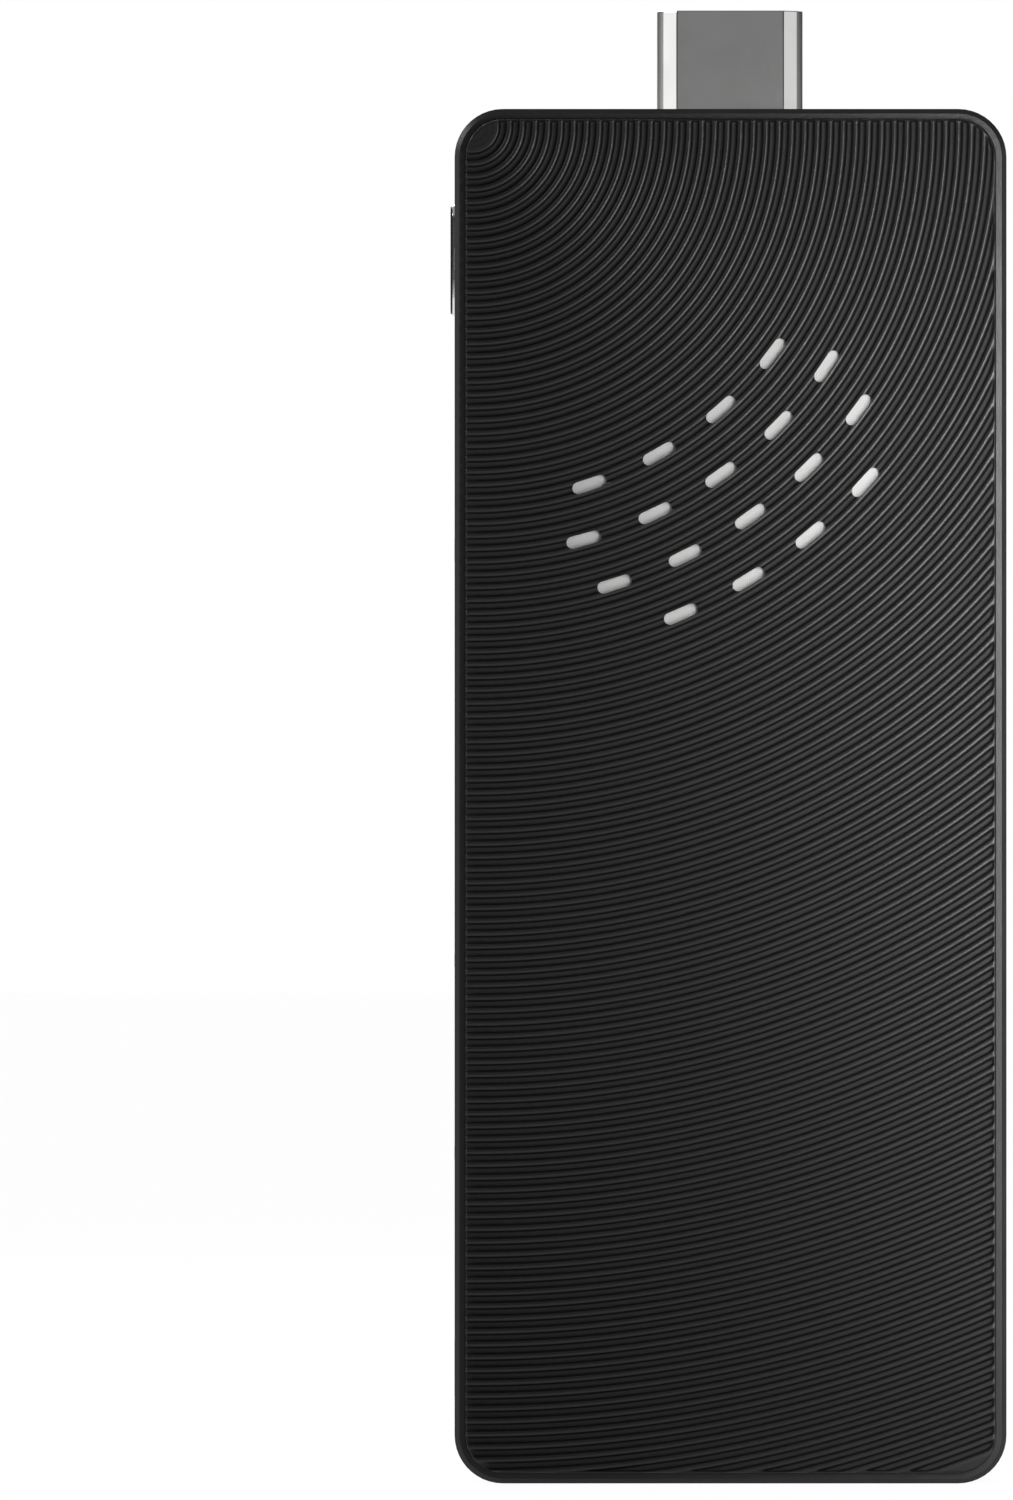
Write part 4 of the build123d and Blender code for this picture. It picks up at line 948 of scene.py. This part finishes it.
def arc(middle, radius, first, last, steps=24):
    """Points of an arc between two angles in degrees."""
    turn = np.radians(np.linspace(first, last, steps))
    return np.array(middle) + radius * np.stack([np.cos(turn), np.sin(turn)], axis=1)


def line(start, end, steps=4):
    """Points of a straight stroke."""
    return np.linspace(start, end, steps)


def broken_line(corners, counts):
    """Points from corner to corner, with a count of points for each leg."""
    legs = [line(a, b, count)[1:] for a, b, count in zip(corners[:-1], corners[1:], counts)]
    return np.concatenate([np.array(corners[:1]), *legs])


# %% The marks
power_y = 5.1
power_mark = [
    stroke(arc((power_y, BUTTON_Z), 0.86, -138, 138, 40), 0.38),
    stroke(line((power_y - 1.25, BUTTON_Z), (power_y - 0.2, BUTTON_Z)), 0.36),
]
card_corners = [(2.3, 90.0), (4.7, 90.0), (4.7, 88.0), (2.92, 88.0), (2.3, 88.62), (2.3, 90.0)]
window = [(3.6, 88.5), (3.6, 89.6), (4.25, 89.6), (4.25, 88.5), (3.6, 88.5)]
card_mark = [
    stroke(broken_line(card_corners, (9, 9, 7, 4, 6)), 0.24),
    stroke(broken_line(window, (5, 5, 5, 5))[:-1], 0.17),
    *[stroke(line((2.7, z), (3.2, z)), 0.14) for z in (88.8, 89.1, 89.4, 89.7)],
]
# The digits' top and foot, and the heights of the two sockets that they number
head, foot = 4.6, 6.05
first, second = USB_HEIGHTS
one_mark = [
    stroke(line((foot, first), (head, first)), 0.34),
    stroke(line((head, first), (head + 0.42, first - 0.48)), 0.3),
    stroke(line((foot, first - 0.45), (foot, first + 0.45)), 0.3),
]
two_path = np.concatenate([
    arc((head + 0.4, second), 0.42, 258, 48, 20),
    line((head + 0.72, second + 0.28), (foot, second - 0.45), 6)[1:],
])
two_foot = line((foot, second + 0.48), (foot, second - 0.48))
two_mark = [stroke(two_path, 0.32), stroke(two_foot, 0.32)]
direct_mark = [stroke(line((2.95, 8.4), (2.95, 13.4)), 0.36)] + [
    stroke(line((4.0, z - 0.5), (4.0, z + 0.5)), 0.36) for z in (8.9, 10.9, 12.9)
]
for name, parts in (
    ("mark_power", power_mark), ("mark_card", card_mark), ("mark_one", one_mark),
    ("mark_two", two_mark), ("mark_direct_current", direct_mark),
):
    points, faces = join_parts(parts)
    make_piece(name, points, faces, mark_white)

# %% [markdown]
# ## The frame
#
# The frame's solid already has the right shape, with all its openings. Its node is loose
# triangles, so a merged copy stands in for it, with a hair-thin bevel to catch the light.


# %% A merged copy of the frame
FRAME_BEVEL, FRAME_SHARP, FRAME_FLAT, MERGE_DISTANCE = 0.05, 32.0, 0.6, 0.5e-6


def frame_band():
    """Copies the node, merges its points, joins flat neighbours and rounds its edges slightly."""
    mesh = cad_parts["mid_frame"].data.copy()
    mesh.name = "frame_band"
    mesh.materials.clear()
    mesh.materials.append(frame_black)
    work = bmesh.new()
    work.from_mesh(mesh)
    bmesh.ops.remove_doubles(work, verts=work.verts, dist=MERGE_DISTANCE)
    flat = math.radians(FRAME_FLAT)
    bmesh.ops.dissolve_limit(work, angle_limit=flat, verts=work.verts, edges=work.edges)
    for face in work.faces:
        face.material_index = 0
    work.to_mesh(mesh)
    work.free()
    piece = new_object("frame_band", mesh)
    tidy_mesh(mesh, FRAME_SHARP)
    rounding = piece.modifiers.new("edges", "BEVEL")
    rounding.width, rounding.segments = FRAME_BEVEL * MM, 2
    rounding.limit_method, rounding.angle_limit = "ANGLE", math.radians(FRAME_SHARP)
    rounding.harden_normals = True
    settle(piece, "casing", ["mid_frame"])


frame_band()

# %% [markdown]
# The swelling cover also has a lip that stands inside the frame. It shows as the dark floor of
# the gap between the two.

# %% Cover lip
LIP_HALF, LIP_CORNER, LIP_WALL, LIP_LOW, LIP_HIGH = (24.85, 64.05), 3.15, 1.1, -5.3, -3.25
lip_section = box_section((0.0, BODY_H / 2), LIP_HALF, LIP_CORNER, 10)
stations = [(0, LIP_LOW), (0, LIP_HIGH), (-LIP_WALL, LIP_HIGH), (-LIP_WALL, LIP_LOW)]
points, faces = carry(lip_section, stations, ALONG_Y, closed=True)
make_piece("cover_lip", points, faces, swell_ribs)

# %% [markdown]
# ## The card catch's spring
#
# The solid stands for the spring as a plain tube. Here it is a wound wire between two fixed ends.

# %% Card spring
SPRING_ENDS, SPRING_AXIS = (10.05, 12.35), (CARD_Y, 77.8)
COIL_RADIUS, WIRE_RADIUS, COIL_TURNS, CATCH_TRAVEL = 0.41, 0.08, 7, 1.2


def wound_wire(steps_per_turn=24, sides=8):
    """A wire along the helix (x, R cos t, R sin t), where x grows evenly with the angle t.
    A point of its surface is the helix point plus the wire's radius r times
    (sin a, cos a cos t, cos a sin t), with a round the wire."""
    turn = np.linspace(0, 2 * np.pi * COIL_TURNS, COIL_TURNS * steps_per_turn + 1)
    around = np.arange(sides) * 2 * np.pi / sides
    run = np.linspace(SPRING_ENDS[0] + WIRE_RADIUS, SPRING_ENDS[1] - WIRE_RADIUS, len(turn))
    reach = COIL_RADIUS + WIRE_RADIUS * np.cos(around)[None, :]
    return skin_loops(np.stack([
        run[:, None] + WIRE_RADIUS * np.sin(around)[None, :],
        SPRING_AXIS[0] + reach * np.cos(turn)[:, None],
        SPRING_AXIS[1] + reach * np.sin(turn)[:, None],
    ], axis=-1))


points, faces = wound_wire()
coil = make_piece(
    "card_coil", points, faces, screw_steel, ["card_spring"], sharp=60.0
)
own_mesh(coil)

# %% [markdown]
# ## Finishes for the solids that stay
#
# Every node that still shows gets the finish of its real material, from one table.

# %% Node finishes
NODE_FINISHES = {
    board_green: ["main_board", "antenna"],
    screw_steel: ["board_screws", "heat_sink_screws", "fan_axle"],
    socket_black: [
        "hdmi_insulator", "usb_c_tongue", "card_base", "switch_body", "fan_housing",
        "fan_socket", "cell_holder",
    ],
    tongue_blue: ["usb_tongue_1", "usb_tongue_2"],
    gold: ["hdmi_contacts", "card_contacts"],
    pale_gold: ["usb_contacts_1", "usb_contacts_2", "usb_c_contacts"],
    cage_steel: ["card_cage"],
    switch_white: ["card_slider", "switch_plunger"],
    rotor_black: ["fan_rotor"],
    lead_black: ["fan_lead", "antenna_lead"],
    chip_black: ["processor", "memory_chips", "storage_chip", "power_chip"],
    pad_grey: ["thermal_pad"],
    sink_alloy: ["heat_sink"],
    coil_grey: ["inductors"],
    ceramic_tan: ["capacitors"],
    shield_steel: ["crystal", "radio_shield"],
    cell_steel: ["coin_cell"],
    screen_cloth: ["vent_screen"],
}
for finish, names in NODE_FINISHES.items():
    for name in names:
        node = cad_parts[name]
        node.data.materials.clear()
        node.data.materials.append(finish)
dressed = {name for names in NODE_FINISHES.values() for name in names}
hidden = {name for name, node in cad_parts.items() if node.hide_render}
print("nodes without a finish:", sorted(set(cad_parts) - dressed - hidden))

# %% [markdown]
# ## Floor, studio and lamps
#
# The object stands on a pale floor in a plain studio. To the camera, the world and the floor are
# white, and the floor keeps only the object's own shadow. What polished metal sees is another
# matter: a bright wall at the port side, a duller one at the far side, a bright band behind, a
# dark grey front and a faintly lit ceiling. They draw the stripes on the folded plug.

# %% Floor
floor_mesh = bpy.data.meshes.new("floor")
floor_mesh.from_pydata([(-4, -4, 0), (4, -4, 0), (4, 4, 0), (-4, 4, 0)], [], [(0, 1, 2, 3)])
floor = new_object("floor", floor_mesh)
floor_finish = Finish("pale floor", {"Roughness": 0.7})
floor_cloud = floor_finish.noise(6.0)
floor_finish.colour(floor_cloud, (0.8, 0.8, 0.8), (0.86, 0.86, 0.86))
glow = floor_finish.node("Emission", {}, {"Color": (1, 1, 1, 1), "Strength": 1.05})
blend = floor_finish.node("MixShader")


def seen_rays(finish):
    """Three masks: 1 for rays from the camera, from a reflection and through clear material."""
    path = finish.node("LightPath")
    kinds = ("Is Camera Ray", "Is Glossy Ray", "Is Transmission Ray")
    return [Signal(finish, path.outputs[kind]) for kind in kinds]


camera_ray, glossy_ray, clear_ray = seen_rays(floor_finish)
floor_finish.feed(blend.inputs[0], 0.92 * (camera_ray + clear_ray) + 0.6 * glossy_ray)
floor_finish.tree.links.new(floor_finish.shader.outputs[0], blend.inputs[1])
floor_finish.tree.links.new(glow.outputs[0], blend.inputs[2])
output = next(n for n in floor_finish.tree.nodes if n.type == "OUTPUT_MATERIAL")
floor_finish.tree.links.new(blend.outputs[0], output.inputs["Surface"])
floor_mesh.materials.append(floor_finish.material)

# %% World
world = bpy.data.worlds.new("studio")
bpy.context.scene.world = world
world.use_nodes = True


class Studio(Finish):
    """The world's tree, with the same way of adding nodes."""

    def __init__(self, tree):
        self.tree = tree
        self.place = Signal(self, self.node("TexCoord").outputs["Generated"])


studio = Studio(world.node_tree)
toward_x, toward_y, toward_z = studio.axes()
port_side = toward_x.step(0.83, 0.97)
far_side = (0 - toward_x).step(0.83, 0.97)
sides = toward_x.absolute().step(0.9, 0.975)
front = toward_y.absolute().step(0.9, 0.975)
behind = (0 - toward_y).step(0.68, 0.78) - (0 - toward_y).step(0.95, 0.985)
above = toward_z.step(0.5, 0.85)
mirrored = (
    0.05 + 0.95 * port_side + 0.65 * far_side + 0.16 * front + 0.7 * behind + 0.25 * above
)
level_light = 0.2 + 0.3 * sides + 0.1 * above
background = world.node_tree.nodes["Background"]
camera_ray, glossy_ray, clear_ray = seen_rays(studio)
white_ray = camera_ray + clear_ray
strength = white_ray + glossy_ray * mirrored + (1 - white_ray - glossy_ray) * level_light
background.inputs["Color"].default_value = (1, 1, 1, 1)
studio.feed(background.inputs["Strength"], strength)

# %% Lamps
# Each lamp has its place, the point it faces, its width and height, its power in watts, its roll
# about the beam and the angle its light fans out over, both in degrees.
LAMPS = {
    "key strip": ((-0.05, 0.1, 0.053), (-0.052, 0.008, 0.053), (0.02, 0.15), 0.11, -14, 100),
    "port side": ((0.5, 0.1, 0.42), (0.02, 0.0, 0.07), (0.25, 0.25), 1.6, 0, 180),
    "rear": ((0.25, -0.6, 0.55), (0.0, 0.0, 0.06), (0.4, 0.4), 2.0, 0, 180),
}
for name, (spot, aim, size, power, roll, fan) in LAMPS.items():
    lamp = bpy.data.lights.new(name, "AREA")
    lamp.shape, lamp.energy = "RECTANGLE", power
    lamp.size, lamp.size_y = size
    lamp.spread = math.radians(fan)
    holder = new_object(name, lamp)
    holder.location = spot
    away = np.array(aim) - np.array(spot)
    holder.rotation_euler = (
        math.atan2(math.hypot(away[0], away[1]), -away[2]), math.radians(roll),
        math.atan2(away[1], away[0]) - math.pi / 2,
    )
print("lamps", list(LAMPS))
